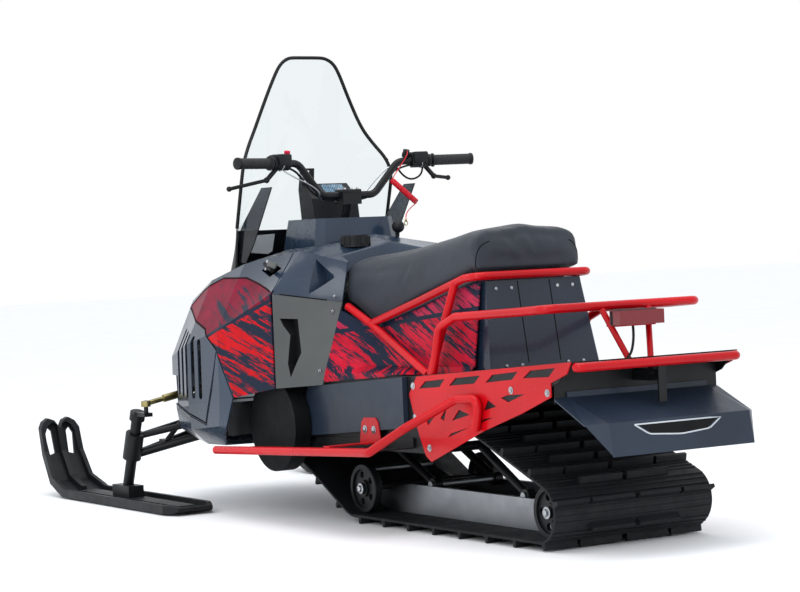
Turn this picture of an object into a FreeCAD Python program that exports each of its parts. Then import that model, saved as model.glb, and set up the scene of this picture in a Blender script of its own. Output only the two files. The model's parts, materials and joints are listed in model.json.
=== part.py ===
import FreeCAD, Part

import math
import os

from FreeCAD import Vector

# Utility snowmobile, in millimetres.
# While it is drawn, x runs forward from the rear idler axle, y to the rider's left and z up from the ground.
# Saved pieces are moved back by MID_X, so that the origin lies on the ground under the middle of the sled.
MID_X = 1098.0

# Track and its wheels
TRACK_HALF = 250.0
BELT = 6.0
LUG = 18.0
LUG_PITCH = 64.0
LUG_BASE = 16.0
LUG_TIP = 9.0
LUG_ROOT = 1.0
LUG_LANES = [(-250.0, -150.0), (-140.0, -8.0), (8.0, 140.0), (150.0, 250.0)]
IDLER_R = 70.0
DRIVE_R = 83.0
CARRIER_R = 60.0
BOGIE_X = 910.0
DRIVE_X = 1230.0
DRIVE_Z = 280.0
CARRIER_X = 540.0
CARRIER_Z = 315.0
WHEEL_Z = IDLER_R + BELT + LUG
WHEEL_Y = 202.0
WHEEL_WIDTH = 24.0
AXLE_R = 10.0
WEB_HOLES = 5
RAIL_Y = 120.0
RAIL_THICK = 14.0
RAIL_HIGH = 62.0
SEAT_GAP = 0.3

# Tunnel and side plates
SHEET = 3.0
TUNNEL_HALF = 262.0
TUNNEL_REAR = -186.0
TUNNEL_FRONT = 1360.0
DECK_X = 548.0
DECK_Z = 426.0
DECK_RISE = 4.2
FLAP_X = -104.0
BOARD_IN = TUNNEL_HALF
COVER_OUT = 12.0
BOARD_OUT = 408.0
BOARD_FRONT = 1400.0
BOARD_REAR = 525.0
BOARD_Z_FRONT = 196.0
BOARD_Z_REAR = 235.0
TUBE_R = 12.0

# Front suspension and skis
KING_Y = 460.0
KING_LOW = (1925.0, 97.0)
KING_TOP = (1851.0, 281.0)
KING_R = 17.0
COLLAR_R = 29.0
KING_GAP = 0.5
SKI_HALF = 80.0
SKI_FRONT = 540.0
SKI_REAR = 470.0
SKI_THICK = 9.0
SKI_RIM = 26.0
SKI_TIP_Z = 250.0
TIE_R = 8.0
BALL_UP = 44.0
STUD_R = 7.0
STUD_BACK = 62.0

# Drive pulley on the left of the tunnel
PULLEY_X = 1212.0
PULLEY_Z = 270.0
PULLEY_R = 135.0

# Steering column
HUB_X = 1282.0
HUB_Z = 912.0
COLUMN_RAKE = 29.0
COLUMN_LONG = 545.0
COLUMN_R = 13.0
BAR_R = 11.1
BAR_HALF = 403.0
GRIP_R = 16.0
GRIP_LONG = 128.0

# Small pieces on the console
LEVER_LOW = (1189.0, -106.0, 765.0)
LEVER_TOP = (1174.0, -106.0, 835.0)
CAP_X = 1095.0
CAP_Y = 92.0
CAP_R = 44.0

# Tow hitch: a lug below the deck, bored across for a pin
TOW_X = -178.0
TOW_Z = 436.0
TOW_R = 9.0
TOW_HALF = 14.0

# Red tether between the stop switch and its clip: cord, coil, then cord again
CORD_R = 1.5
COIL_R = 9.0
LEAD = [
    (1252.0, -198.0, 1063.0), (1240.0, -193.0, 1060.0), (1231.0, -180.0, 1044.0), (1229.0, -155.0, 1015.0),
    (1230.0, -134.0, 990.0), (1232.0, -125.0, 977.0),
]
COIL = [(1232.0, -125.0, 977.0), (1140.0, -155.0, 904.0)]
TAIL = [
    (1143.0, -153.0, 904.0), (1158.0, -146.0, 892.0), (1163.0, -134.0, 879.0), (1159.0, -125.0, 866.0),
    (1151.0, -120.0, 855.0),
]

# Cowl
SKIN = 4.0
SEAM = 0.4
HOOD_GAP = 3.0
HINGE_X = 2066.0
HINGE_Z = 300.0
HINGE_PIN_R = 5.0
HINGE_R = 11.0
SEAM_X = 1134.0
SEAM_KNEE_Z = 656.0
SEAM_LEAN = 71.0
COWL_TOP = 900.0
WIDE = 500.0
NOTCH_HALF = 140.0
STRIP_END = 1250.0

# Windshield and the lamps below it
SCREEN_Z = 843.0
SCREEN_NOSE = 1662.0
SCREEN_SIDE = 1505.0
SCREEN_LEAN = 0.3
SCREEN_THICK = 3.0
# outline of the left lamp, in y and z
LAMP = [(34.0, 776.0), (48.0, 768.0), (150.0, 776.0), (176.0, 794.0), (168.0, 826.0), (46.0, 830.0)]

# Line of the seat's underside, in x and z, from front to rear
SEAT_UNDER = [(1049.0, 628.0), (887.0, 562.0), (632.0, 638.0), (379.0, 702.0), (341.0, 704.0)]


def vec(x, y, z):
    return Vector(x, y, z)


def prism_y(points, y0, y1):
    """Outline given in x and z, drawn out from y0 to y1."""
    wire = Part.makePolygon([vec(x, y0, z) for x, z in points + points[:1]])
    return Part.Face(wire).extrude(vec(0, y1 - y0, 0))


def prism_z(points, z0, z1):
    """Outline given in x and y, drawn out from z0 to z1."""
    wire = Part.makePolygon([vec(x, y, z0) for x, y in points + points[:1]])
    return Part.Face(wire).extrude(vec(0, 0, z1 - z0))


def prism_x(points, x0, x1):
    """Outline given in y and z, drawn out from x0 to x1."""
    wire = Part.makePolygon([vec(x0, y, z) for y, z in points + points[:1]])
    return Part.Face(wire).extrude(vec(x1 - x0, 0, 0))


def block(x0, x1, y0, y1, z0, z1):
    return Part.makeBox(x1 - x0, y1 - y0, z1 - z0, vec(x0, y0, z0))


def rod(start, end, radius):
    """Round bar between two points."""
    a = vec(*start)
    b = vec(*end)
    return Part.makeCylinder(radius, (b - a).Length, a, b - a)


def cross_rod(x, z, radius, y0, y1):
    return rod((x, y0, z), (x, y1, z), radius)


def turned_y(profile, x, z):
    """Round piece about a cross axis: the profile holds radius and y."""
    wire = Part.makePolygon([vec(x + r, y, z) for r, y in profile + profile[:1]])
    return Part.Face(wire).revolve(vec(x, 0, z), vec(0, 1, 0), 360)


def mirrored(shape):
    return shape.mirror(vec(0, 0, 0), vec(0, 1, 0))


def joined(shapes):
    first = shapes[0]
    if len(shapes) == 1:
        return first
    return first.multiFuse(shapes[1:])


def bent_path(points, bend=None):
    """Straight runs joined by tangent arcs, of one radius or as large as the runs allow."""
    p = [vec(*q) for q in points]
    edges = []
    last = p[0]
    for before, here, after in zip(p, p[1:], p[2:]):
        a = (before - here).normalize()
        b = (after - here).normalize()
        half = a.getAngle(b) / 2
        radius = bend
        if bend is None:
            radius = 0.45 * min((before - here).Length, (after - here).Length) * math.tan(half)
            print("cord bend", round(radius, 1))
        back = radius / math.tan(half)
        start = here + a * back
        end = here + b * back
        middle_way = (a + b).normalize()
        centre = here + middle_way * (radius / math.sin(half))
        middle = centre - middle_way * radius
        edges.append(Part.makeLine(last, start))
        edges.append(Part.Arc(start, middle, end).toShape())
        last = end
    edges.append(Part.makeLine(last, p[-1]))
    return Part.Wire(edges)


def tube(points, radius, bend=None):
    """Round tube, solid in section, along a bent path."""
    path = bent_path(points, bend)
    start = vec(*points[0])
    along = vec(*points[1]) - start
    ring = Part.Wire(Part.makeCircle(radius, start, along))
    return path.makePipeShell([ring], True, False)


def loft(wires):
    return Part.makeLoft(wires, True, True)


def deck_z(x):
    """Height of the tunnel's top edge, which climbs towards the rear."""
    return DECK_Z + max(0.0, DECK_X - x) * math.tan(math.radians(DECK_RISE))


def board_z(x):
    """Height of the running board."""
    share = (BOARD_FRONT - x) / (BOARD_FRONT - BOARD_REAR)
    return BOARD_Z_FRONT + share * (BOARD_Z_REAR - BOARD_Z_FRONT)


def above_deck(shape):
    """Trim a piece off flat where it stands on the tunnel."""
    low = [(x, deck_z(x) + 0.1) for x in (-400.0, DECK_X, 1400.0)]
    return shape.cut(prism_y(low + [(1400.0, 0.0), (-400.0, 0.0)], -500, 500))


def save(name, shapes):
    """Write one node, moved so that the origin is under the sled's middle."""
    if not isinstance(shapes, list):
        shapes = [shapes]
    solids = [solid for shape in shapes for solid in shape.Solids]
    piece = solids[0] if len(solids) == 1 else Part.makeCompound(solids)
    piece.translate(vec(-MID_X, 0, 0))
    piece.exportStep("parts/" + name + ".step")
    print(name, len(solids), "solids", round(piece.Volume / 1000), "cm3", piece.isValid())


# Belt path

# wheels in the order in which the belt passes them: x, z, radius
BELT_WHEELS = [
    (0.0, WHEEL_Z, IDLER_R),
    (BOGIE_X, WHEEL_Z, IDLER_R),
    (DRIVE_X, DRIVE_Z, DRIVE_R),
    (CARRIER_X, CARRIER_Z, CARRIER_R),
]


def belt_normals():
    """Direction from each wheel to the belt run that leaves it."""
    angles = []
    count = len(BELT_WHEELS)
    for i in range(count):
        x1, z1, r1 = BELT_WHEELS[i]
        x2, z2, r2 = BELT_WHEELS[(i + 1) % count]
        along = math.atan2(z2 - z1, x2 - x1)
        far = math.hypot(x2 - x1, z2 - z1)
        angles.append(along - math.acos((r1 - r2) / far))
    return angles


def belt_wire(offset):
    """Closed loop round the wheels, at a distance outside them."""
    angles = belt_normals()
    edges = []
    count = len(BELT_WHEELS)
    for i in range(count):
        x, z, r = BELT_WHEELS[i]
        x2, z2, r2 = BELT_WHEELS[(i + 1) % count]
        out = angles[i]
        into = angles[i - 1]
        while out < into:
            out += 2 * math.pi
        reach = r + offset
        arc = [vec(x + reach * math.cos(a), 0, z + reach * math.sin(a)) for a in (into, (into + out) / 2, out)]
        edges.append(Part.Arc(*arc).toShape())
        reach2 = r2 + offset
        end = vec(x2 + reach2 * math.cos(out), 0, z2 + reach2 * math.sin(out))
        edges.append(Part.makeLine(arc[2], end))
    return Part.Wire(edges)


def belt_places(offset, pitch):
    """Evenly spaced points round the belt, each with the angle that faces outwards."""
    angles = belt_normals()
    count = len(BELT_WHEELS)
    runs = []
    for i in range(count):
        x, z, r = BELT_WHEELS[i]
        x2, z2, r2 = BELT_WHEELS[(i + 1) % count]
        out = angles[i]
        into = angles[i - 1]
        while out < into:
            out += 2 * math.pi
        reach = r + offset
        runs.append(("arc", (x, z, reach, into), reach * (out - into)))
        start = (x + reach * math.cos(out), z + reach * math.sin(out))
        reach2 = r2 + offset
        end = (x2 + reach2 * math.cos(out), z2 + reach2 * math.sin(out))
        runs.append(("line", (start, end, out), math.dist(start, end)))
    total = sum(run[2] for run in runs)
    rows = round(total / pitch)
    places = []
    for row in range(rows):
        left = row * total / rows
        for kind, data, length in runs:
            if left <= length:
                break
            left -= length
        if kind == "arc":
            x, z, reach, into = data
            angle = into + left / reach
            places.append((x + reach * math.cos(angle), z + reach * math.sin(angle), angle))
        else:
            (xs, zs), (xe, ze), angle = data
            share = left / length
            places.append((xs + share * (xe - xs), zs + share * (ze - zs), angle))
    return places


def make_track():
    outer = Part.Face(belt_wire(BELT)).extrude(vec(0, 2 * TRACK_HALF, 0))
    inner = Part.Face(belt_wire(0.0)).extrude(vec(0, 2 * TRACK_HALF, 0))
    belt = outer.cut(inner)
    belt.translate(vec(0, -TRACK_HALF, 0))
    lugs = []
    for row, (x, z, angle) in enumerate(belt_places(BELT, LUG_PITCH)):
        normal = (math.cos(angle), math.sin(angle))
        along = (-normal[1], normal[0])
        corners = []
        for side, up in ((-LUG_BASE, -LUG_ROOT), (LUG_BASE, -LUG_ROOT), (LUG_TIP, LUG), (-LUG_TIP, LUG)):
            corners.append((x + along[0] * side / 2 + normal[0] * up, z + along[1] * side / 2 + normal[1] * up))
        lanes = LUG_LANES if row % 2 else LUG_LANES[1:3]
        for y0, y1 in lanes:
            lugs.append(prism_y(corners, y0, y1))
    return belt.multiFuse(lugs)


def wheel(x, z, radius, y, width):
    """Moulded wheel: rim, thin web with holes, and a hub bored for its axle."""
    rim = radius - 14.0
    hub = 24.0
    h = width / 2
    web = 5.0
    profile = [
        (AXLE_R, y - h), (hub, y - h), (hub, y - web), (rim, y - web), (rim, y - h), (radius - 2, y - h),
        (radius, y - h + 2), (radius, y + h - 2), (radius - 2, y + h), (rim, y + h), (rim, y + web),
        (hub, y + web), (hub, y + h), (AXLE_R, y + h),
    ]
    turned = turned_y(profile, x, z)
    reach = (hub + rim) / 2
    for k in range(WEB_HOLES):
        angle = 2 * math.pi * k / WEB_HOLES
        hole = cross_rod(x + reach * math.cos(angle), z + reach * math.sin(angle), reach - hub - 6.0, y - h, y + h)
        turned = turned.cut(hole)
    return turned


def make_wheels():
    seat = SEAT_GAP
    rear = [cross_rod(0, WHEEL_Z, AXLE_R, -WHEEL_Y - 20, WHEEL_Y + 20)]
    for y in (-WHEEL_Y, 0.0, WHEEL_Y):
        rear.append(wheel(0, WHEEL_Z, IDLER_R - seat, y, WHEEL_WIDTH))
    save("rear_idlers", joined(rear))
    front = [cross_rod(BOGIE_X, WHEEL_Z, AXLE_R, -WHEEL_Y - 20, WHEEL_Y + 20)]
    for y in (-WHEEL_Y, WHEEL_Y):
        front.append(wheel(BOGIE_X, WHEEL_Z, IDLER_R - seat, y, WHEEL_WIDTH))
    save("bogie_wheels", joined(front))
    top = [cross_rod(CARRIER_X, CARRIER_Z, AXLE_R, -TUNNEL_HALF + 2 * SHEET, TUNNEL_HALF - 2 * SHEET)]
    for y in (-150.0, 150.0):
        top.append(wheel(CARRIER_X, CARRIER_Z, CARRIER_R - seat, y, WHEEL_WIDTH))
    save("carrier_wheels", joined(top))
    drive = [cross_rod(DRIVE_X, DRIVE_Z, 16.0, -TUNNEL_HALF + SHEET, TUNNEL_HALF - SHEET)]
    for y in (-75.0, 75.0):
        drive.append(cross_rod(DRIVE_X, DRIVE_Z, DRIVE_R - seat, y - 20, y + 20))
    save("drive_axle", joined(drive))


def make_skid():
    low = BELT + LUG + SEAT_GAP
    # the front end rises along the belt's sloping run
    outline = [
        (-28, low + 10), (0, low + 0.3), (BOGIE_X - 10, low + 0.3), (BOGIE_X + 34, low + 10.3), (1095, 116), (1080, 142),
        (BOGIE_X + 20, low + RAIL_HIGH), (BOGIE_X - 120, low + RAIL_HIGH + 20), (120, low + RAIL_HIGH + 20),
        (40, low + RAIL_HIGH + 34), (-30, low + RAIL_HIGH + 34),
    ]
    rails = []
    for y in (-RAIL_Y, RAIL_Y):
        rail = prism_y(outline, y - RAIL_THICK / 2, y + RAIL_THICK / 2)
        for x in (0.0, BOGIE_X):
            rail = rail.cut(cross_rod(x, WHEEL_Z, AXLE_R + SEAT_GAP, y - RAIL_THICK, y + RAIL_THICK))
        rails.append(rail)
    for x, z in ((250.0, 108.0), (700.0, 108.0), (1060.0, 128.0)):
        rails.append(cross_rod(x, z, 11.0, -RAIL_Y, RAIL_Y))
    save("slide_rails", joined(rails))


def make_skid_arms():
    """Front and rear arms that carry the slide rails below the tunnel."""
    in_y = RAIL_Y - RAIL_THICK / 2 - 12.0
    wall = TUNNEL_HALF - 2 * SHEET
    arms = []
    # lower pivot x, z; upper pivot x, z; half width of the arm's side tubes
    for x0, z0, x1, z1, y in ((700.0, 108.0, 1020.0, 262.0, in_y), (250.0, 108.0, 470.0, 232.0, in_y)):
        pieces = [cross_rod(x1, z1, 13.0, -wall, wall)]
        for side in (-y, y):
            way = math.hypot(x1 - x0, z1 - z0)
            ux = (x1 - x0) / way
            uz = (z1 - z0) / way
            pieces.append(rod((x0 + ux * 14, side, z0 + uz * 14), (x1, side, z1), 12.0))
            ring = cross_rod(x0, z0, 19.0, side - 12, side + 12)
            pieces.append(ring)
        arm = joined(pieces)
        arm = arm.cut(cross_rod(x0, z0, 11.0 + SEAT_GAP, -RAIL_Y, RAIL_Y))
        arms.append(arm)
    save("skid_arms", arms)


def make_tunnel():
    out = TUNNEL_HALF - SHEET
    inn = out - SHEET
    top = [(TUNNEL_REAR, deck_z(TUNNEL_REAR)), (DECK_X, DECK_Z), (TUNNEL_FRONT, DECK_Z)]
    under = [(x, z - SHEET) for x, z in reversed(top)]
    pieces = [prism_y(top + under, -out, out)]
    wall = [
        (TUNNEL_REAR, deck_z(TUNNEL_REAR)), (DECK_X, DECK_Z), (TUNNEL_FRONT, DECK_Z), (TUNNEL_FRONT, 205.0),
        (460.0, 220.0), (TUNNEL_REAR + 60, deck_z(TUNNEL_REAR) - 52),
    ]
    for y in (inn, -out):
        pieces.append(prism_y(wall, y, y + SHEET))
    # plate that closes the rear end, above the flap
    pieces.append(block(FLAP_X, FLAP_X + SHEET, -inn, inn, 374.0, deck_z(FLAP_X) - SHEET))
    tunnel = joined(pieces)
    holes = [
        (CARRIER_X, CARRIER_Z, AXLE_R + SEAT_GAP), (DRIVE_X, DRIVE_Z, 16.0 + SEAT_GAP),
        (1020.0, 262.0, 13.0 + SEAT_GAP), (470.0, 232.0, 13.0 + SEAT_GAP),
    ]
    for x, z, r in holes:
        tunnel = tunnel.cut(cross_rod(x, z, r, -TUNNEL_HALF, TUNNEL_HALF))
    save("tunnel", tunnel)


# cut-outs of the red side plates: corners in x and z
UPPER_WINDOWS = [
    [(512, 394), (482, 414), (384, 423), (410, 401)], [(364, 406), (332, 427), (214, 437), (244, 415)],
    [(192, 419), (160, 440), (44, 451), (70, 430)], [(22, 435), (-10, 455), (-118, 464), (-90, 441)],
]
LOWER_WINDOWS = [
    [(125, 382), (96, 390), (17, 395), (91, 372)], [(356, 314), (321, 345), (270, 333)],
    [(205, 346), (184, 375), (146, 359)], [(273, 378), (218, 378), (242, 358)], [(380, 268), (365, 280), (275, 300)],
    [(496, 331), (438, 347), (438, 323), (474, 296)], [(413, 318), (378, 350), (394, 312)],
    [(227, 312), (207, 325), (160, 331)],
]


def make_side_plates():
    """Red outer plates with their cut-outs, seated on the tunnel's walls."""
    in_y = TUNNEL_HALF - SHEET
    rear_z = deck_z(TUNNEL_REAR)
    outline = [
        (522.0, DECK_Z), (TUNNEL_REAR, rear_z), (TUNNEL_REAR + 20, rear_z - 30), (-97.0, 426.0), (-96.0, 391.0),
        (32.0, 346.0), (209.0, 293.0), (465.0, 199.0), (491.0, 214.0), (527.0, 282.0), (564.0, 377.0),
    ]
    plate = prism_y(outline, in_y, in_y + SHEET)
    for corners in UPPER_WINDOWS + LOWER_WINDOWS:
        window = [(float(x), float(z)) for x, z in corners]
        plate = plate.cut(prism_y(window, in_y - 1, in_y + SHEET + 1))
    for name, piece in (("side_plate_left", plate), ("side_plate_right", mirrored(plate))):
        save(name, piece)


def make_boards():
    """Running boards with their outer rail tubes."""
    rear = BOARD_REAR + 22.0
    outline = [
        (BOARD_FRONT, board_z(BOARD_FRONT)), (rear, board_z(rear)),
        (rear, board_z(rear) - SHEET), (BOARD_FRONT, board_z(BOARD_FRONT) - SHEET),
    ]
    y0 = BOARD_IN + SEAT_GAP
    deck = prism_y(outline, y0, BOARD_OUT)
    lip = [(x, z + 26.0) for x, z in outline[:2]] + [(rear, outline[2][1]), (BOARD_FRONT, outline[3][1])]
    board = joined([deck, prism_y(lip, y0, y0 + SHEET)])
    # room for the drive pulley, which hangs lower than the board
    board = board.cut(block(PULLEY_X - PULLEY_R - 8, BOARD_FRONT - 40, 200.0, 346.0, 100.0, 300.0))
    for k in range(12):
        x = BOARD_FRONT - 60 - k * 68
        for y in (310.0, 376.0):
            if x < PULLEY_X - PULLEY_R - 30 or y > 350:
                board = board.cut(Part.makeCylinder(15.0, 100, vec(x, y, board_z(x) - 50)))
    centre = BOARD_OUT + TUBE_R
    drop = SHEET / 2
    points = [
        (BOARD_FRONT + 5, centre, board_z(BOARD_FRONT) - drop),
        (BOARD_REAR, centre, board_z(BOARD_REAR) - drop),
        (405.0, centre - 40, 300.0),
        (305.0, TUNNEL_HALF + TUBE_R + 6, 374.0),
        (205.0, TUNNEL_HALF + TUBE_R + SEAT_GAP, 378.0),
        (228.0, TUNNEL_HALF + TUBE_R + SEAT_GAP, 296.0),
    ]
    rail = tube(points, TUBE_R, 24.0)
    # small gusset that ties the rail to the lower cover
    cover_y = TUNNEL_HALF + COVER_OUT + SEAT_GAP
    gusset = [(808.0, 230.0), (796.0, 292.0), (782.0, 306.0), (722.0, 308.0), (708.0, 296.0), (692.0, 230.0)]
    tie = prism_y(gusset, cover_y, cover_y + SHEET)
    tie = tie.fuse(block(735.0, 765.0, cover_y, centre, 236.0, 239.0))
    rail = rail.fuse(tie)
    for side, name in ((1, "left"), (-1, "right")):
        save("running_board_" + name, board if side > 0 else mirrored(board))
        save("board_rail_" + name, rail if side > 0 else mirrored(rail))


# Cowl

# sections of the upper cowl: x, then y and z of the bottom edge, side crease, shoulder, and z at the middle
COWL = [
    (1005.0, (276, 390), (200, 624), (176, 737), 780),
    (1134.0, (360, 381), (362, 655), (255, 775), 815),
    (1400.0, (404, 340), (402, 548), (300, 742), 815),
    (1600.0, (406, 318), (404, 505), (308, 695), 792),
    (1780.0, (368, 300), (366, 462), (285, 632), 730),
    (1900.0, (304, 288), (306, 432), (228, 566), 650),
    (1990.0, (218, 282), (224, 405), (160, 498), 558),
    (2040.0, (124, 288), (130, 375), (92, 435), 475),
]
# sections of the belly: x, then y and z of the top edge, side, bottom corner, and z at the middle
BELLY = [
    (1334.0, (393.1, 350.2), (404, 268), (372, 206), 198),
    (1400.0, (404, 340), (409, 264), (372, 204), 197),
    (1600.0, (406, 318), (400, 245), (345, 196), 190),
    (1780.0, (368, 300), (356, 240), (290, 200), 194),
    (1900.0, (304, 288), (296, 240), (228, 208), 204),
    (1990.0, (218, 282), (208, 248), (150, 226), 222),
    (2036.0, (133, 287.5), (118, 262), (92, 248), 246),
]
# seam between the hinged front and the fixed belly, in x and z
BELLY_SEAM = [
    (1134.0, 360.0), (1334.0, 352.0), (1414.0, 491.0), (1450.0, 370.0), (1492.0, 267.0), (1606.0, 292.0),
    (1769.0, 324.0), (2100.0, 330.0),
]
# rear edge of the belly, from the bottom up
BELLY_REAR = [(1440.0, 207.0), (1358.0, 267.0), (1336.0, 350.0)]
# front edge of the side graphics, in x and z, from the bottom up
GRAPHIC_EDGE = [(1334.0, 352.0), (1382.0, 420.0), (1414.0, 491.0), (1501.0, 549.0), (1785.0, 612.0)]
# air outlet in the side panel, pocket in the console's flank and latch opening in the hood, in x and z
VENT = [
    (1118.0, 583.0), (1073.0, 579.0), (1050.0, 558.0), (1054.0, 533.0), (1092.0, 412.0), (1100.0, 452.0),
    (1096.0, 534.0), (1110.0, 560.0),
]
FLANK = [(1086.0, 750.0), (1026.0, 697.0), (1068.0, 650.0)]
LATCH = [(1288.0, 721.0), (1258.0, 746.0), (1177.0, 726.0), (1219.0, 702.0)]
# air slots in the nose: x of the middle, z of the lower and the upper end
SLOT_HALF = 11.0
GRILLE = [
    (1520.0, 340.0, 522.0), (1565.0, 340.0, 530.0), (1610.0, 340.0, 537.0), (1655.0, 342.0, 543.0),
    (1700.0, 346.0, 549.0),
]
# upper edge of the side graphics, from front to rear
GRAPHIC_TOP = [(1770.0, 619.0), (1658.0, 666.0), (1516.0, 703.0), (1356.0, 703.0), (1137.0, 659.0)]


def cowl_ring(row, inset):
    """One closed section, pulled in by a wall's thickness."""
    x, low, crease, shoulder, middle = row
    half = [
        (low[0] - inset, low[1]), (crease[0] - inset, crease[1] - inset * 0.3),
        (shoulder[0] - inset * 0.6, shoulder[1] - inset), (0.0, middle - inset * 1.1),
    ]
    points = half + [(-y, z) for y, z in reversed(half[:-1])]
    return Part.makePolygon([vec(x, y, z) for y, z in points + points[:1]])


def belly_ring(row, inset):
    x, top, side, corner, middle = row
    half = [
        (top[0] - inset, top[1]), (side[0] - inset, side[1] + inset * 0.3),
        (corner[0] - inset * 0.6, corner[1] + inset), (0.0, middle + inset * 1.1),
    ]
    points = half + [(-y, z) for y, z in reversed(half[:-1])]
    return Part.makePolygon([vec(x, y, z) for y, z in points + points[:1]])


def shell_of(rows, ring):
    """Thin-walled body through the sections, closed in front and open behind."""
    outer = loft([ring(row, 0.0) for row in rows])
    inner_rows = [list(row) for row in rows]
    inner_rows[0][0] -= 1.0
    inner_rows[-1][0] -= SKIN
    inner = loft([ring(row, SKIN) for row in inner_rows])
    return outer.cut(inner)


def shifted(points, dx, dz):
    return [(x + dx, z + dz) for x, z in points]


def swollen(points, rim):
    """Outline with each corner moved away from its middle."""
    x0 = sum(x for x, z in points) / len(points)
    z0 = sum(z for x, z in points) / len(points)
    grown = []
    for x, z in points:
        far = math.hypot(x - x0, z - z0)
        grown.append((x + (x - x0) * rim / far, z + (z - z0) * rim / far))
    return grown


def dome_shape(grow):
    """Raised block round the steering column, grown or shrunk all round."""
    lower = [(1222, 124), (1240, 152), (1466, 138), (1466, -138), (1240, -152), (1222, -124)]
    upper = [(1236, 108), (1252, 132), (1448, 116), (1448, -116), (1252, -132), (1236, -108)]
    rings = []
    for plan, z in ((lower, 730.0), (upper, 868.0 + grow)):
        points = []
        for x, y in plan:
            points.append(vec(x + (grow if x > 1300 else -grow), y + (grow if y > 0 else -grow), z))
        rings.append(Part.makePolygon(points + points[:1]))
    return loft(rings)


def both_sides(shape):
    return shape.fuse(mirrored(shape))


def pocketed(panel, outline, floor_y):
    """Open a window in a left-hand panel and back it with a tray whose floor lies at floor_y."""
    body = loft([cowl_ring(row, 0.0) for row in COWL])
    tray = prism_y(swollen(outline, SKIN), floor_y, WIDE).common(body)
    tray = tray.cut(prism_y(outline, floor_y + SKIN, WIDE))
    return panel.cut(prism_y(outline, floor_y, WIDE)).fuse(tray)


def seam_line(offset):
    """Seam between the hood and what stays behind it, from the top down."""
    return [
        (SEAM_X + SEAM_LEAN + offset, COWL_TOP), (SEAM_X + offset, SEAM_KNEE_Z), (SEAM_X + offset, 300.0),
    ]


def make_cowl():
    """Upper body and belly as one shell, parted along its seams into panels."""
    shell = shell_of(COWL, cowl_ring).fuse(shell_of(BELLY, belly_ring))
    strip = block(SEAM_X - 20, STRIP_END, HOOD_GAP - NOTCH_HALF, NOTCH_HALF - HOOD_GAP, 700.0, COWL_TOP)
    behind = prism_y([(900.0, 300.0), (900.0, COWL_TOP)] + seam_line(-HOOD_GAP), -WIDE, WIDE)
    make_console(shell.common(behind), shell.common(strip))
    make_front_body(shell)
    make_belly(shell)


def make_console(rear, strip):
    """Fixed body behind the hood: side panels below the crease, and the console above it."""
    crease = [(900.0, 599.0), (1005.0, 624.0), (SEAM_X + 40, 664.6)]
    below = shifted(crease, 0, -SEAM) + [(SEAM_X + 40, 300.0), (900.0, 300.0)]
    panel = pocketed(rear.common(prism_y(below, 150.0, WIDE)), VENT, 300.0)
    save("side_panel_left", panel)
    save("side_panel_right", mirrored(panel))
    above = shifted(crease, 0, SEAM) + [(SEAM_X + 100, COWL_TOP), (900.0, COWL_TOP)]
    console = rear.common(prism_y(above, -WIDE, WIDE))
    console = console.cut(block(900.0, 1053.0, -171.0, 171.0, 560.0, 950.0))
    for _ in range(2):
        console = mirrored(pocketed(console, FLANK, 204.0))
    console = console.fuse(strip)
    dome = dome_shape(0.0).cut(dome_shape(-SKIN)).cut(block(1100.0, 1600.0, -300.0, 300.0, 600.0, 770.0))
    console = console.cut(dome_shape(-SKIN)).fuse(dome)
    console = console.cut(rod(column_point(-300.0), column_point(60.0), COLUMN_R + 7.0))
    console = console.cut(rod(LEVER_LOW, LEVER_TOP, 6.0 + SEAT_GAP))
    save("console", console.cut(Part.makeCylinder(CAP_R + SEAT_GAP, 60.0, vec(CAP_X, CAP_Y, 780))))


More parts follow.
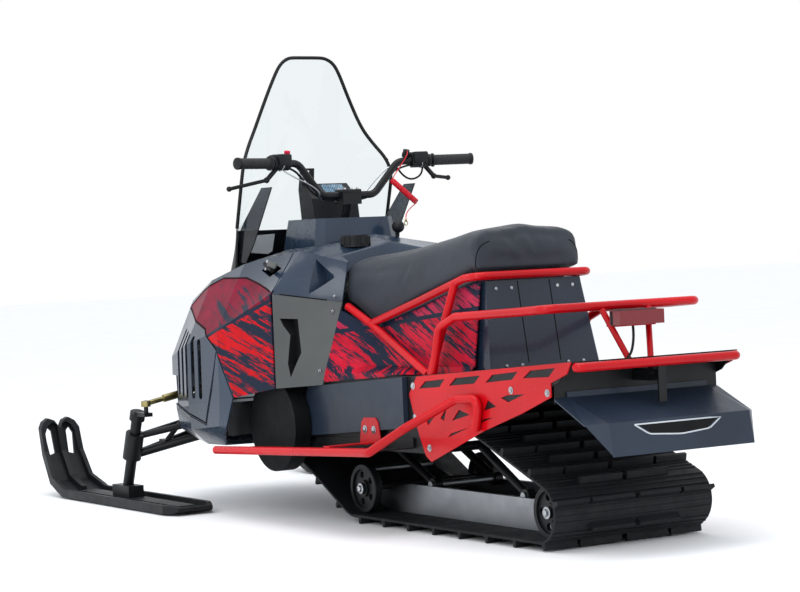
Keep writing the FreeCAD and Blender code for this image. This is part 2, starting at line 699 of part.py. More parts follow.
def make_front_body(shell):
    """Hinged front: hood, nose and the panels that carry the side graphics."""
    moving = seam_line(HOOD_GAP)[::-1][1:]
    region = [(SEAM_X + HOOD_GAP, 340.0), (1334.0, 340.0)] + BELLY_SEAM[1:] + [(2100.0, COWL_TOP)] + moving[::-1]
    front = shell.common(prism_y(region, -WIDE, WIDE))
    # it stands clear of the belly all along the seam, and of the console's strip and block
    clear = [(1334.0, 335.0)] + shifted(BELLY_SEAM[1:3], -4, 4) + shifted(BELLY_SEAM[3:], 4, 6)
    front = front.cut(prism_y(clear + [(2100.0, 200.0), (1334.0, 200.0)], -WIDE, WIDE))
    notch = NOTCH_HALF + HOOD_GAP
    front = front.cut(block(SEAM_X - 20, STRIP_END, -notch, notch, 700.0, COWL_TOP))
    front = front.cut(dome_shape(2 * HOOD_GAP))
    graphic = [(SEAM_X, 300.0)] + GRAPHIC_EDGE + GRAPHIC_TOP + [(SEAM_X, 659.0)]
    quarter = front.common(prism_y(graphic, 120.0, WIDE))
    save("front_quarter_left", quarter)
    save("front_quarter_right", mirrored(quarter))
    grown = [(SEAM_X - 20, 300.0)] + shifted(GRAPHIC_EDGE, SEAM, -SEAM)
    grown += shifted(GRAPHIC_EDGE[-1:], 2 * SEAM, SEAM) + shifted(GRAPHIC_TOP, 0, 2 * SEAM)
    rest = front.cut(both_sides(prism_y(grown + [(SEAM_X - 20, 656.0)], 100.0, WIDE)))
    edge = GRAPHIC_EDGE[2:] + [(1850.0, COWL_TOP)]
    hood_side = shifted(edge, -SEAM, 0) + [(1100.0, COWL_TOP), (1100.0, 600.0), (1300.0, 560.0)]
    latches = both_sides(prism_y(LATCH, 220.0, WIDE))
    save("hood", rest.common(prism_y(hood_side, -WIDE, WIDE)).cut(latches))
    nose_side = shifted(edge, SEAM, 0) + [(2200.0, COWL_TOP), (2200.0, 150.0), (1340.0, 150.0), (1360.0, 352.0)]
    nose = rest.common(prism_y(nose_side, -WIDE, WIDE))
    nose = nose.cut(both_sides(block(1720.0, 1925.0, 200.0, WIDE, 200.0, 405.0)))
    for x, low, high in GRILLE:
        slot = block(x - SLOT_HALF, x + SLOT_HALF, 200.0, WIDE, low + SLOT_HALF, high - SLOT_HALF)
        for z in (low + SLOT_HALF, high - SLOT_HALF):
            slot = slot.fuse(cross_rod(x, z, SLOT_HALF, 200.0, WIDE))
        nose = nose.cut(both_sides(slot))
    ears = []
    for y in (-80.0, 80.0):
        ear = block(2045.0, HINGE_X, y - 4, y + 4, HINGE_Z - 5, HINGE_Z + 54)
        ear = ear.fuse(cross_rod(HINGE_X, HINGE_Z, HINGE_R, y - 4, y + 4))
        ear = ear.fuse(block(2037.0, 2045.0, y - 4, y + 4, HINGE_Z + 39, HINGE_Z + 54))
        ears.append(ear.cut(cross_rod(HINGE_X, HINGE_Z, HINGE_PIN_R + SEAT_GAP, y - 10, y + 10)))
    save("nose_cover", joined([nose] + ears))


def make_belly(shell):
    """Fixed belly with the hinge brackets of the front body."""
    room = block(1200.0, TUNNEL_FRONT + 8, -TUNNEL_HALF - 2, TUNNEL_HALF + 2, 100.0, 430.0)
    below = BELLY_REAR + BELLY_SEAM[2:] + [(2100.0, 100.0), (BELLY_REAR[0][0], 100.0)]
    belly = shell.common(prism_y(below, -WIDE, WIDE)).cut(room)
    belly = belly.cut(both_sides(block(1745.0, 1925.0, 200.0, WIDE, 150.0, 340.0)))
    brackets = []
    for side in (-1, 1):
        near = side * (80.0 + 4.0 + 0.6)
        far = near + side * 8.0
        low, high = sorted((near, far))
        brackets.append(block(2034.0, HINGE_X, low, high, HINGE_Z - 34, HINGE_Z + 4))
        brackets.append(cross_rod(HINGE_X, HINGE_Z, HINGE_R, low, high))
        brackets.append(cross_rod(HINGE_X, HINGE_Z, HINGE_PIN_R, side * 80.0 - 12, side * 80.0 + 12))
    save("belly_pan", joined([belly] + brackets))


def make_body_sides():
    """Rear side panels between the cowl and the seat's box, with the lower covers under them."""
    # sections of the left panel: x, then y and z from the bottom edge up
    rows = [
        (1005.0 - SEAT_GAP, (274, 398), (265.7, 428), (240.3, 500), (206.5, 600)),
        (860.0, (266, 409), (265, 428), (212, 446), (178, 546)),
        (700.0, (267, 419), (266, 431), (203, 446), (176, 588)),
        (640.0, (267, 427), (262, 431), (202, 446), (175, 602)),
        (600.0, (258, 429), (246, 431), (200, 446), (174, 612)),
        (525.0, (220, 428), (212, 430), (198, 447), (172, 634)),
        (450.0, (212, 433.5), (206, 436), (194, 449), (170, 655)),
        (345.0, (206, 441.2), (204, 443), (192, 452), (164, 674)),
    ]
    rings = []
    for x, *points in rows:
        ring = [vec(x, y, z) for y, z in points] + [vec(x, y - SKIN, z) for y, z in reversed(points)]
        rings.append(Part.makePolygon(ring + ring[:1]))
    rear = loft(rings)
    cover = [(1090.0, 383.7), (1005.0, 389.6), (577.0, 424.0), (577.0, 285.0), (1140.0, 237.0), (1146.0, 300.0)]
    skirt = prism_y(cover, TUNNEL_HALF - SHEET + SEAT_GAP, TUNNEL_HALF + COVER_OUT)
    save("rear_panels", [rear, mirrored(rear)])
    save("lower_covers", [skirt, mirrored(skirt)])


def seat_ring(x, half, side_z, crown):
    points = [
        (-half, 540), (-half, side_z - 34), (-half + 12, side_z - 10), (-half + 44, side_z), (0, crown),
        (half - 44, side_z), (half - 12, side_z - 10), (half, side_z - 34), (half, 540),
    ]
    return Part.makePolygon([vec(x, y, z) for y, z in points + points[:1]])


def make_seat():
    # sections of the seat: x, half width, z of the top's edge and of its crown
    rows = [
        (330.0, 172, 812, 826), (420.0, 172, 806, 820), (519.0, 171, 790, 804), (700.0, 170, 766, 778),
        (864.0, 168, 751, 762), (1055.0, 165, 738, 750),
    ]
    body = loft([seat_ring(*row) for row in rows])
    profile = SEAT_UNDER + [(362.0, 850.0), (1029.0, 850.0), (1029.0, 738.0)]
    save("seat", body.common(prism_y(profile, -300, 300)))
    # box below the seat: narrower at the top, with a leaning rear face
    under = [(x, z - SEAT_GAP) for x, z in SEAT_UNDER[1:]]
    box = [(860.0, 425.0), (860.0, 569.0)] + under[1:2] + [(402.0, 695.0), (402.0, 677.0), (333.0, 677.0), (287.0, 425.0)]
    section = [(-180.0, 420.0), (-150.0, 710.0), (150.0, 710.0), (180.0, 420.0)]
    save("seat_box", above_deck(prism_y(box, -200, 200).common(prism_x(section, 200.0, 1000.0))))
    r = 11.0
    side = [
        [(990.0, 189.0, 610.0), (854.0, 194.0, 560.0), (505.0, 236.0, 430.0)],
        [(856.0, 194.0, 562.0), (630.0, 188.0, 620.0), (385.0, 186.0, 685.0), (326.0, 184.0, 690.0),
         (326.0, -184.0, 690.0), (385.0, -186.0, 685.0), (630.0, -188.0, 620.0), (856.0, -194.0, 562.0)],
        [(492.0, 236.0, 430.0), (428.0, 188.0, 672.0)],
    ]
    first = tube(side[0], r, 30.0)
    third = rod(side[2][0], side[2][1], r)
    loop = tube(side[1], r, 26.0)
    save("seat_frame", above_deck(joined([loop, first, mirrored(first), third, mirrored(third)])))


def make_racks():
    r = 11.5
    y = 243.0
    upper = tube([
        (471.0, y, 425.0), (430.0, y, 556.0), (350.0, y, 586.0), (54.0, y, 600.0), (-62.0, y, 607.0),
        (-62.0, -y, 607.0), (54.0, -y, 600.0), (350.0, -y, 586.0), (430.0, -y, 556.0), (471.0, -y, 425.0),
    ], r, 30.0)
    legs = []
    for side in (-1, 1):
        legs.append(rod((-62.0, side * 75, 606.0), (-120.0, side * 34, 470.0), 8.0))
    bracket = block(-110.0, -68.0, -62.0, 62.0, 554.0, 557.7)
    save("rack_upper", above_deck(joined([upper, bracket] + legs)))
    z = 466.0
    back = TUNNEL_REAR - 18.0
    end = TUNNEL_REAR - SEAT_GAP
    lower = tube([(end, 248.0, z), (back, 248.0, z), (back, -248.0, z), (end, -248.0, z)], r, 14.0)
    save("rack_lower", lower)
    save("tail_light", block(-136.0, -93.0, -70.0, 70.0, 558.0, 594.0))


def plate(corners, thick):
    """Flat plate through given corners, thickened on the side from which they run clockwise."""
    points = [vec(*corner) for corner in corners]
    normal = (points[1] - points[0]).cross(points[2] - points[0]).normalize()
    return Part.Face(Part.makePolygon(points + points[:1])).extrude(normal * -thick)


def make_flap():
    """Folded snow flap with bent-down corners."""
    thick = 4.0
    front = FLAP_X - SEAT_GAP
    # corners of the left half: inner front, outer front, low corner, end of the fold, bottom edge
    a = (front, 221.0, 390.0)
    b = (front, 258.0, 386.0)
    c = (-232.0, 262.0, 327.0)
    d = (-272.0, 221.0, 331.0)
    e = (-289.0, 220.0, 250.0)
    right = [(x, -y, z) for x, y, z in (a, d, e)]
    pieces = [plate([a, d, right[1], right[0]], thick), plate([d, e, right[2], right[1]], thick)]
    for triangle in ((a, b, c), (a, c, d), (d, c, e)):
        side = plate(list(triangle), thick)
        pieces.append(side)
        pieces.append(mirrored(side))
    pieces.append(block(front - thick, front, -221.0, 221.0, 380.0, 402.0))
    save("mud_flap", joined(pieces).cut(block(front, 0.0, -WIDE, WIDE, 300.0, 450.0)))
    # hitch: a lug out of the closing plate, bored across, and a strap that hangs from the lower rack
    lug = block(TOW_X, front, -TOW_HALF, TOW_HALF, TOW_Z - 18, TOW_Z + 10)
    lug = lug.fuse(cross_rod(TOW_X, TOW_Z, 18.0, -TOW_HALF, TOW_HALF))
    strap = block(-208.0, -203.0, -12.0, 12.0, 366.0, 454.2)
    arm = block(-204.0, TOW_X, -12.0, 12.0, TOW_Z - 17, TOW_Z - 11)
    save("tow_hitch", lug.fuse([strap, arm]).cut(cross_rod(TOW_X, TOW_Z, TOW_R, -WIDE, WIDE)))


# Front end


def king_point(z):
    """Point on the left kingpin's axis at a height."""
    share = (z - KING_LOW[1]) / (KING_TOP[1] - KING_LOW[1])
    return (KING_LOW[0] + share * (KING_TOP[0] - KING_LOW[0]), KING_Y, z)


def make_spindle():
    foot = king_point(52.0)
    top = king_point(KING_TOP[1] + 12)
    post = rod(foot, top, KING_R)
    cap = rod(king_point(KING_TOP[1] - 12), top, 24.0)
    ball = king_point(KING_TOP[1] + 6)
    arm = block(ball[0] - STUD_BACK - 16, ball[0] + 26, KING_Y - 14, KING_Y + 14, ball[2] - 6, ball[2] + 6)
    stud = rod((ball[0] - STUD_BACK, KING_Y, ball[2]), (ball[0] - STUD_BACK, KING_Y, ball[2] + BALL_UP), STUD_R)
    saddle = block(foot[0] - 60, foot[0] + 60, KING_Y - 26, KING_Y + 26, 24.0, 60.0)
    return joined([post, cap, arm, stud, saddle])


def ski_plan(inset):
    """Outline of a ski from above, pulled in all round."""
    half = SKI_HALF - inset
    tip = 66.0 - inset
    side = [(-SKI_REAR + inset, half - 22), (-SKI_REAR + 60, half), (340.0, half), (SKI_FRONT - inset * 0.4, tip)]
    return side + [(x, -y) for x, y in reversed(side)]


def ski_front(inset):
    """Outline of the turned-up tip from the front: two rounded lobes."""
    side = [(82.0, -10.0), (82.0, 150.0), (72.0, 210.0), (56.0, 238.0), (36.0, SKI_TIP_Z), (16.0, 242.0)]
    side = [(max(y - inset, 8.0), z - (inset if z > 200 else 0.0)) for y, z in side]
    return side + [(0.0, 216.0 - inset)] + [(-y, z) for y, z in reversed(side)]


def make_ski():
    """Left ski: a moulded plate with raised rims, a keel, and two hand slots in its turned-up tip."""
    x0 = king_point(40.0)[0]
    t = SKI_THICK
    rim = SKI_RIM
    under = [(-SKI_REAR, 14.0), (-SKI_REAR + 30, 4.0), (330.0, 4.0), (440.0, 40.0), (505.0, 130.0), (SKI_FRONT, SKI_TIP_Z)]
    thin = [
        (SKI_FRONT - t, SKI_TIP_Z), (505.0 - t, 134.0), (433.0, 48.0), (326.0, 4.0 + t), (-SKI_REAR + 31, 4.0 + t),
        (-SKI_REAR, 14.0 + t),
    ]
    deep = [
        (SKI_FRONT - rim, SKI_TIP_Z), (505.0 - rim, 143.0), (421.0, 64.0), (318.0, 4.0 + rim), (-SKI_REAR + 35, 4.0 + rim),
        (-SKI_REAR, 14.0 + t),
    ]

    def drawn(outline, half=SKI_HALF):
        return prism_y([(x0 + x, z) for x, z in outline], KING_Y - half, KING_Y + half)

    def from_above(inset):
        return prism_z([(x0 + x, KING_Y + y) for x, y in ski_plan(inset)], -10, 400)

    def from_front(inset, start):
        return prism_x([(KING_Y + y, z) for y, z in ski_front(inset)], x0 + start, x0 + SKI_FRONT + 20)

    high = drawn(under + deep, 100.0)
    trough = from_above(13.0).common(from_front(13.0, -SKI_REAR - 30)).cut(
        block(x0 + 330, x0 + SKI_FRONT + 30, KING_Y - 9, KING_Y + 9, -20.0, 400.0))
    body = drawn(under + thin, 100.0).fuse(high.cut(trough))
    body = body.common(from_above(0.0)).common(from_front(0.0, -SKI_REAR - 20))
    for side in (-1, 1):
        slot = [(24, 134), (44, 128), (50, 196), (38, 218), (26, 206)]
        body = body.cut(prism_x([(KING_Y + side * y, float(z)) for y, z in slot], x0 + 420, x0 + SKI_FRONT + 20))
    runner = block(x0 - 330, x0 + 300, KING_Y - 6, KING_Y + 6, 0.0, 5.0)
    keel = [(-SKI_REAR + 40, 4.0 + t / 2), (328.0, 4.0 + t / 2), (300.0, 23.7), (-SKI_REAR + 60, 23.7)]
    return joined([body, runner, drawn(keel, 30.0)])


def make_front():
    spindle = make_spindle()
    ski = make_ski()
    # tie rod: from the ball stud into the belly, level with the stud's top
    ball = king_point(KING_TOP[1] + 6)
    x = ball[0] - STUD_BACK
    y = KING_Y
    z = ball[2] + BALL_UP - 10
    head = rod((x, y, z - 9), (x, y, z + 9), 15.0)
    bar = rod((x, y, z), (x - 8, y - 240, z + 48), TIE_R)
    sleeve = rod((x - 2, y - 60, z + 12), (x - 5, y - 150, z + 30), TIE_R + 4)
    hole = rod((x, y, z - 40), (x, y, z + 40), STUD_R + KING_GAP)
    tie = joined([head, bar, sleeve]).cut(hole)
    for name, piece in (("spindle", spindle), ("ski", ski), ("tie_rod", tie)):
        save(name + "_left", piece)
        save(name + "_right", mirrored(piece))
    # knuckle collar and the two arms that carry it
    low = king_point(146.0)
    high = king_point(226.0)
    collar = rod(low, high, COLLAR_R)
    inner_y = 200.0
    lower = []
    upper = []
    for x in (1765.0, 1885.0):
        lower.append(rod((low[0] - 8, KING_Y - 14, low[2] + 12), (x, inner_y, 226.0), 13.0))
        upper.append(rod((high[0], KING_Y - 14, high[2] - 10), (x, inner_y, 266.0), 10.0))
    arms = joined([collar, block(1846.0, 1890.0, 336.0, 370.0, 178.0, 200.0)] + lower + upper)
    arms = arms.cut(rod(king_point(20.0), king_point(320.0), KING_R + KING_GAP))
    arms = arms.cut(block(1700.0, 2000.0, 0.0, inner_y, 100.0, 300.0))
    save("front_arms_left", arms)
    save("front_arms_right", mirrored(arms))
    shock = joined([
        rod((1853.0, 286.0, 274.0), (1843.0, 226.0, 344.0), 22.0),
        rod((1868.0, 356.0, 192.0), (1838.0, 188.0, 388.0), 8.0),
    ])
    shock = shock.cut(block(1700.0, 2000.0, 0.0, inner_y, 100.0, 500.0))
    shock = shock.cut(block(1700.0, 2000.0, 0.0, 500.0, 100.0, 200.0 + SEAT_GAP))
    save("front_shocks", [shock, mirrored(shock)])
    beam = joined([
        block(1740.0, 1905.0, -inner_y + SEAT_GAP, inner_y - SEAT_GAP, 216.0, 278.0),
        block(1500.0, 1560.0, -200.0, 200.0, 205.0, 405.0),
        block(1515.0, 1577.0, -40.0, 40.0, 400.0, 452.0),
        block(1360.3, 1760.0, -150.0, 150.0, 214.0, 232.0),
        block(1430.0, 1434.0, -364.0, 364.0, 230.0, 330.0),
        block(TUNNEL_FRONT + SEAT_GAP, TUNNEL_FRONT + 6, -TUNNEL_HALF + SHEET, TUNNEL_HALF - SHEET, 212.0, DECK_Z),
        block(1598.0, 1602.0, -8.0, 8.0, 195.0, 220.0),
    ] + [block(1818.0, 1866.0, *sorted((side * 184.0, side * (inner_y - SEAT_GAP))), 270.0, 392.0) for side in (-1, 1)])
    beam = beam.cut(rod(column_point(-COLUMN_LONG - 60), column_point(-460.0), COLUMN_R + SEAT_GAP))
    save("bulkhead", [beam])
    save("engine_block", block(1580.0, 1900.0, -180.0, 180.0, 278.3, 560.0))
    hub = cross_rod(PULLEY_X, PULLEY_Z, 58.0, TUNNEL_HALF - SHEET + SEAT_GAP, 284.0)
    save("drive_pulley", hub.fuse(cross_rod(PULLEY_X, PULLEY_Z, PULLEY_R, 280.0, 330.0)))


# Controls


def column_axis():
    rake = math.radians(COLUMN_RAKE)
    return vec(-math.sin(rake), 0, math.cos(rake))


def column_point(along):
    """Point on the steering column's axis, measured up from the hub."""
    p = vec(HUB_X, 0, HUB_Z) + column_axis() * along
    return (p.x, p.y, p.z)


def bar_end(side):
    return vec(HUB_X - 65, side * BAR_HALF, HUB_Z + 123)


def bar_root(side):
    return vec(HUB_X - 10, side * 175, HUB_Z + 122)


def make_controls():
    """Handlebar on its column, with grips, levers and switches."""
    hub = vec(HUB_X, 0, HUB_Z)
    axis = column_axis()
    column = rod(tuple(hub - axis * COLUMN_LONG), tuple(hub + axis * 10), COLUMN_R)
    clamp = block(HUB_X - 26, HUB_X + 22, -32, 32, HUB_Z - 4, HUB_Z + 34)
    points = [bar_end(1), bar_root(1), (HUB_X, 92, HUB_Z + 24), (HUB_X, -92, HUB_Z + 24), bar_root(-1), bar_end(-1)]
    bar = tube([tuple(p) for p in points], BAR_R, 40.0)
    save("handlebar", joined([column, clamp, bar]))
    grips = []
    controls = []
    for side in (-1, 1):
        end = bar_end(side)
        way = (bar_root(side) - end).normalize()
        grip = rod(tuple(end - way * 4), tuple(end + way * (GRIP_LONG - 4)), GRIP_R)
        flange = rod(tuple(end + way * (GRIP_LONG - 8)), tuple(end + way * (GRIP_LONG - 4)), GRIP_R + 5)
        grips.append(grip.fuse(flange).cut(rod(tuple(end), tuple(end + way * 200), BAR_R)))
        near = end + way * (GRIP_LONG + 14)
        switch = rod(tuple(near), tuple(near + way * 50), 21.0)
        perch = rod(tuple(near + way * 8 + vec(0, 0, -14)), (1254.0, side * 292.0, 986.0), 7.0)
        tip = (1249.0, 420.0, 963.0) if side > 0 else (1256.0, -345.0, 980.0)
        lever = rod((1254.0, side * 292.0, 986.0), tip, 5.5)
        knob = Part.makeSphere(8.0, vec(*tip))
        piece = [switch, perch, Part.makeSphere(9.0, vec(1254.0, side * 292.0, 986.0)), lever, knob]
        if side < 0:
            piece.append(rod((1266.0, -200.0, 1046.5), (1262.0, -200.0, 1058.0), 12.0))
        controls.append(joined(piece).cut(rod(tuple(end), tuple(near + way * 60), BAR_R + SEAT_GAP)))
    save("grips", grips)
    save("bar_controls", controls)
    save("shift_lever", joined([rod(LEVER_LOW, LEVER_TOP, 6.0), Part.makeSphere(19.0, vec(*LEVER_TOP))]))
    ribs = [Part.makeCylinder(CAP_R - 4, 34.0, vec(CAP_X, CAP_Y, 780))]
    for k in range(12):
        angle = 2 * math.pi * k / 12
        rib = vec(CAP_X + (CAP_R - 5) * math.cos(angle), CAP_Y + (CAP_R - 5) * math.sin(angle), 788)
        ribs.append(Part.makeCylinder(5.0, 22.0, rib))
    save("fuel_cap", joined(ribs))


def make_gauge_pod():
    """Instrument pod on the column's block: a tilted display, and a ribbed mast to its left."""
    side = [(1352, 868.3), (1430, 868.3), (1442, 960), (1426, 1024), (1412, 1024), (1418, 972), (1362, 930)]
    pod = prism_y([(float(x), z) for x, z in side], -80, 80)
    pod = pod.cut(block(1300.0, 1500.0, -90.0, 38.0, 974.0, 1030.0))
    # recess of the display in the sloping face, then the windows of the mast
    pod = pod.cut(rod((1392.0, -22.0, 964.0), (1396.0, -22.0, 938.0), 30.0).common(block(1350, 1440, -60, 20, 900, 990)))
    for k in range(3):
        pod = pod.cut(block(1400.0, 1450.0, 48.0, 72.0, 982.0 + k * 14, 990.0 + k * 14))
    save("gauge_pod", pod.cut(rod(column_point(-200.0), column_point(60.0), COLUMN_R + 7.0)))


def make_tether():
    """Red coiled cord that hangs from the stop switch, with its cap and clip."""
    coil = rod(COIL[0], COIL[1], COIL_R)
    save("tether_coil", coil)
    save("tether_lead", tube(LEAD, CORD_R).cut(coil))
    save("tether_tail", tube(TAIL, CORD_R).cut(coil))
    cap = rod((1261.9, -200.0, 1058.3), (1258.6, -200.0, 1067.8), 10.0)
    lead_way = (vec(*LEAD[1]) - vec(*LEAD[0])).normalize()
    boss = rod((1260.0, -200.0, 1063.0), LEAD[0], 3.0)
    outside = vec(*LEAD[0])
    trim = rod(tuple(outside), tuple(outside + lead_way * 20), 12.0)
    save("tether_cap", cap.fuse(boss).cut(trim))
    top = vec(*TAIL[-1])
    down = (top - vec(*TAIL[-2])).normalize()
    end = top + down * 7
    knot = rod(tuple(top), tuple(end), 3.5)
    # a bent wire loop below the knot, in the plane that faces the rider
    ring = Part.makeTorus(6.0, 1.3, end + vec(0, 0, -6), vec(1, 0, 0))
    save("tether_clip", joined([knot, ring]))


def bow_ring(z, nose, side, half, wall):
    """Wall bowed round the front in plan: an outer and an inner arc, joined at their ends."""
    outer = Part.Arc(vec(side, half, z), vec(nose, 0, z), vec(side, -half, z))
    y = half - wall
    inner = Part.Arc(vec(side - wall, -y, z), vec(nose - wall, 0, z), vec(side - wall, y, z))
    return Part.Wire([
        outer.toShape(), Part.makeLine(vec(side, -half, z), vec(side - wall, -y, z)), inner.toShape(),
        Part.makeLine(vec(side - wall, y, z), vec(side, half, z)),
    ])


def make_windshield():
    """Clear screen, the wings beside the dash, and the housing with the headlights below the screen."""
    z1 = 1368.0
    half = 267.0
    rise = z1 - SCREEN_Z
    screen = Part.Face(bow_ring(SCREEN_Z, SCREEN_NOSE, SCREEN_SIDE, half, SCREEN_THICK))
    screen = screen.extrude(vec(-SCREEN_LEAN * rise, 0, rise))
    # outline of the left half in y and z
    left = [(half, SCREEN_Z), (half + 2, 943), (255, 1049), (190, 1150), (112, 1322), (92, 1352), (66, z1)]
    outline = left + [(-y, z) for y, z in reversed(left)]
    save("windshield", screen.common(prism_x(outline, 1000, 2000)))
    wing = [(1361, 967), (1299, 967), (1425, 800), (1480, 744), (1545, 748), (1511, 839), (1480, 868)]
    wing = prism_y([(float(x), float(z)) for x, z in wing], 249.0, 252.6)
    save("windshield_wings", [wing, mirrored(wing)])
    housing = loft([
        bow_ring(720.0, 1755.0, 1532.0, 262.0, SKIN), bow_ring(SCREEN_Z, SCREEN_NOSE, SCREEN_SIDE, half, SKIN),
    ])
    housing = housing.cut(loft([cowl_ring(row, 0.0) for row in COWL]))
    openings = both_sides(prism_x(swollen(LAMP, SEAT_GAP), 1500, 1800))
    lenses = [housing.common(prism_x(points, 1500, 1800)) for points in (LAMP, [(-y, z) for y, z in LAMP])]
    save("headlights", lenses)
    save("headlight_housing", housing.cut(openings))


def main():
    os.makedirs("parts", exist_ok=True)
    save("track", make_track())
    make_wheels()
    make_skid()
    make_skid_arms()
    make_tunnel()
    make_side_plates()
    make_boards()
    make_cowl()
    make_body_sides()
    make_seat()
    make_racks()
    make_flap()
    make_front()
    make_controls()
    make_gauge_pod()
    make_tether()
    make_windshield()


main()
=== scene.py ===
"""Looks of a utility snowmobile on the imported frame: finishes, seat cover, stop-switch cord and trims."""

import json
import math

import bpy
from mathutils import Matrix, Vector


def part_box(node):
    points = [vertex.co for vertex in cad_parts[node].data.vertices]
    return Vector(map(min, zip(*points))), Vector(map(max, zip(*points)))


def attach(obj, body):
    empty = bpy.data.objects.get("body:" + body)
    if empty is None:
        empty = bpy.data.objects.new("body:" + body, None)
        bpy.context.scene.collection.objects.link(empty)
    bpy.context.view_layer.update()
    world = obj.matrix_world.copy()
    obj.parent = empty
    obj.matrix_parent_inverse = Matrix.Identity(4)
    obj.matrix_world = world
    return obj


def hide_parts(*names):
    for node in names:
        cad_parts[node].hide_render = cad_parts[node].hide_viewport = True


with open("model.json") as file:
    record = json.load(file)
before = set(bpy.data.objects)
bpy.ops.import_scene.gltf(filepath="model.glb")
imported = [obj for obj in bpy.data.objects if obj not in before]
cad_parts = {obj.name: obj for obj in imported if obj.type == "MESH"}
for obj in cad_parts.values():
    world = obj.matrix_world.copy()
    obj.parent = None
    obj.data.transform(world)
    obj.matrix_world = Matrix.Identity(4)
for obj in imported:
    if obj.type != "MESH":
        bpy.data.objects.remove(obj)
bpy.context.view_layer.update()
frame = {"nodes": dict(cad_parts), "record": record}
NODES = frame["nodes"]

MM = 0.001
# routes and places below are drawn in millimetres from the rear wheels' axle, this far behind the origin
AXLE_TO_ORIGIN = 1098.0


def at(x, y, z):
    """Place drawn from the rear axle, as a point of the frame."""
    return Vector(((x - AXLE_TO_ORIGIN) * MM, y * MM, z * MM))


def mirror(point):
    """The same place on the sled's other side."""
    return Vector((point.x, -point.y, point.z))


def sided(points, side):
    """Places drawn on the left, as points of the frame on the left (1) or the right (-1)."""
    return [at(x, side * y, z) for x, y, z in points]


# Finishes

# kinds of shader node that several finishes use
NOISE = "ShaderNodeTexNoise"
WAVE = "ShaderNodeTexWave"
RAMP = "ShaderNodeValToRGB"
RANGE = "ShaderNodeMapRange"
BUMP = "ShaderNodeBump"
MATH = "ShaderNodeMath"
MIX = "ShaderNodeMix"
MAPPING = "ShaderNodeMapping"
BACKGROUND = "ShaderNodeBackground"


def linear(code):
    """sRGB hex code to linear colour."""
    channels = [int(code[i:i + 2], 16) / 255 for i in (1, 3, 5)]
    return [c / 12.92 if c <= 0.04045 else ((c + 0.055) / 1.055) ** 2.4 for c in channels] + [1.0]


def shades(first, last, low=0.35, high=0.65):
    """Stops of a ramp from one hex colour to another."""
    return [(low, linear(first)), (high, linear(last))]


def cutoff(edge, width):
    """Stops of a ramp that is black up to an edge and white past it."""
    return [(edge, (0.0, 0.0, 0.0, 1.0)), (edge + width, (1.0, 1.0, 1.0, 1.0))]


def spacing(size):
    """Scale of a noise, cell or brick pattern whose parts are a given size in millimetres."""
    return 1.0 / (size * MM)


def ripple(size):
    """Scale of a wave pattern whose bands lie a given distance apart in millimetres."""
    return math.pi / (10 * size * MM)


def fill(tree, made, inputs):
    """Set a node's inputs, each to a value or to another node's socket."""
    for key, value in inputs.items():
        if isinstance(value, bpy.types.NodeSocket):
            tree.links.new(value, made.inputs[key])
        else:
            made.inputs[key].default_value = value


def node(tree, kind, out=None, inputs=None, stops=(), **settings):
    """Add a shader node, with a ramp's stops where given, and return it or one of its outputs."""
    made = tree.nodes.new(kind)
    for key, value in settings.items():
        setattr(made, key, value)
    fill(tree, made, inputs or {})
    if stops:
        for element, (position, colour) in zip(made.color_ramp.elements, stops):
            element.position = position
            element.color = colour
    return made if out is None else made.outputs[out]


def new_finish(name):
    """Empty material with its node tree, its shader and the object coordinates that patterns read."""
    made = bpy.data.materials.new(name)
    made.use_nodes = True
    tree = made.node_tree
    tree.nodes.clear()
    shader = node(tree, "ShaderNodeBsdfPrincipled")
    node(tree, "ShaderNodeOutputMaterial", inputs={"Surface": shader.outputs["BSDF"]})
    return made, tree, shader, node(tree, "ShaderNodeTexCoord", "Object")


def finish(name, light, dark, rough, grain, depth, patch=333.333, metal=0.0, coat=0.0, shine=0.3):
    """Mottled colour, roughness between two values, and a fine relief; grain and patches in millimetres."""
    made, tree, shader, place = new_finish(name)
    patches = node(tree, NOISE, "Fac", {"Vector": place, "Scale": spacing(patch), "Detail": 5.0})
    # smudges are a seventh of the patches' size
    smudges = {"Vector": place, "Scale": spacing(patch / 7), "Detail": 6.0, "Roughness": 0.65}
    wear = {
        "Value": node(tree, NOISE, "Fac", smudges), "From Min": 0.3, "From Max": 0.7,
        "To Min": rough[0], "To Max": rough[1],
    }
    skin = node(tree, NOISE, "Fac", {"Vector": place, "Scale": spacing(grain), "Detail": 2.0})
    fill(tree, shader, {
        "Base Color": node(tree, RAMP, "Color", {"Fac": patches}, shades(dark, light)),
        "Roughness": node(tree, RANGE, "Result", wear),
        "Normal": node(tree, BUMP, "Normal", {"Height": skin, "Distance": depth}),
        "Metallic": metal, "Specular IOR Level": 0.5 if metal else shine,
        "Coat Weight": coat, "Coat Roughness": 0.08,
    })
    return made


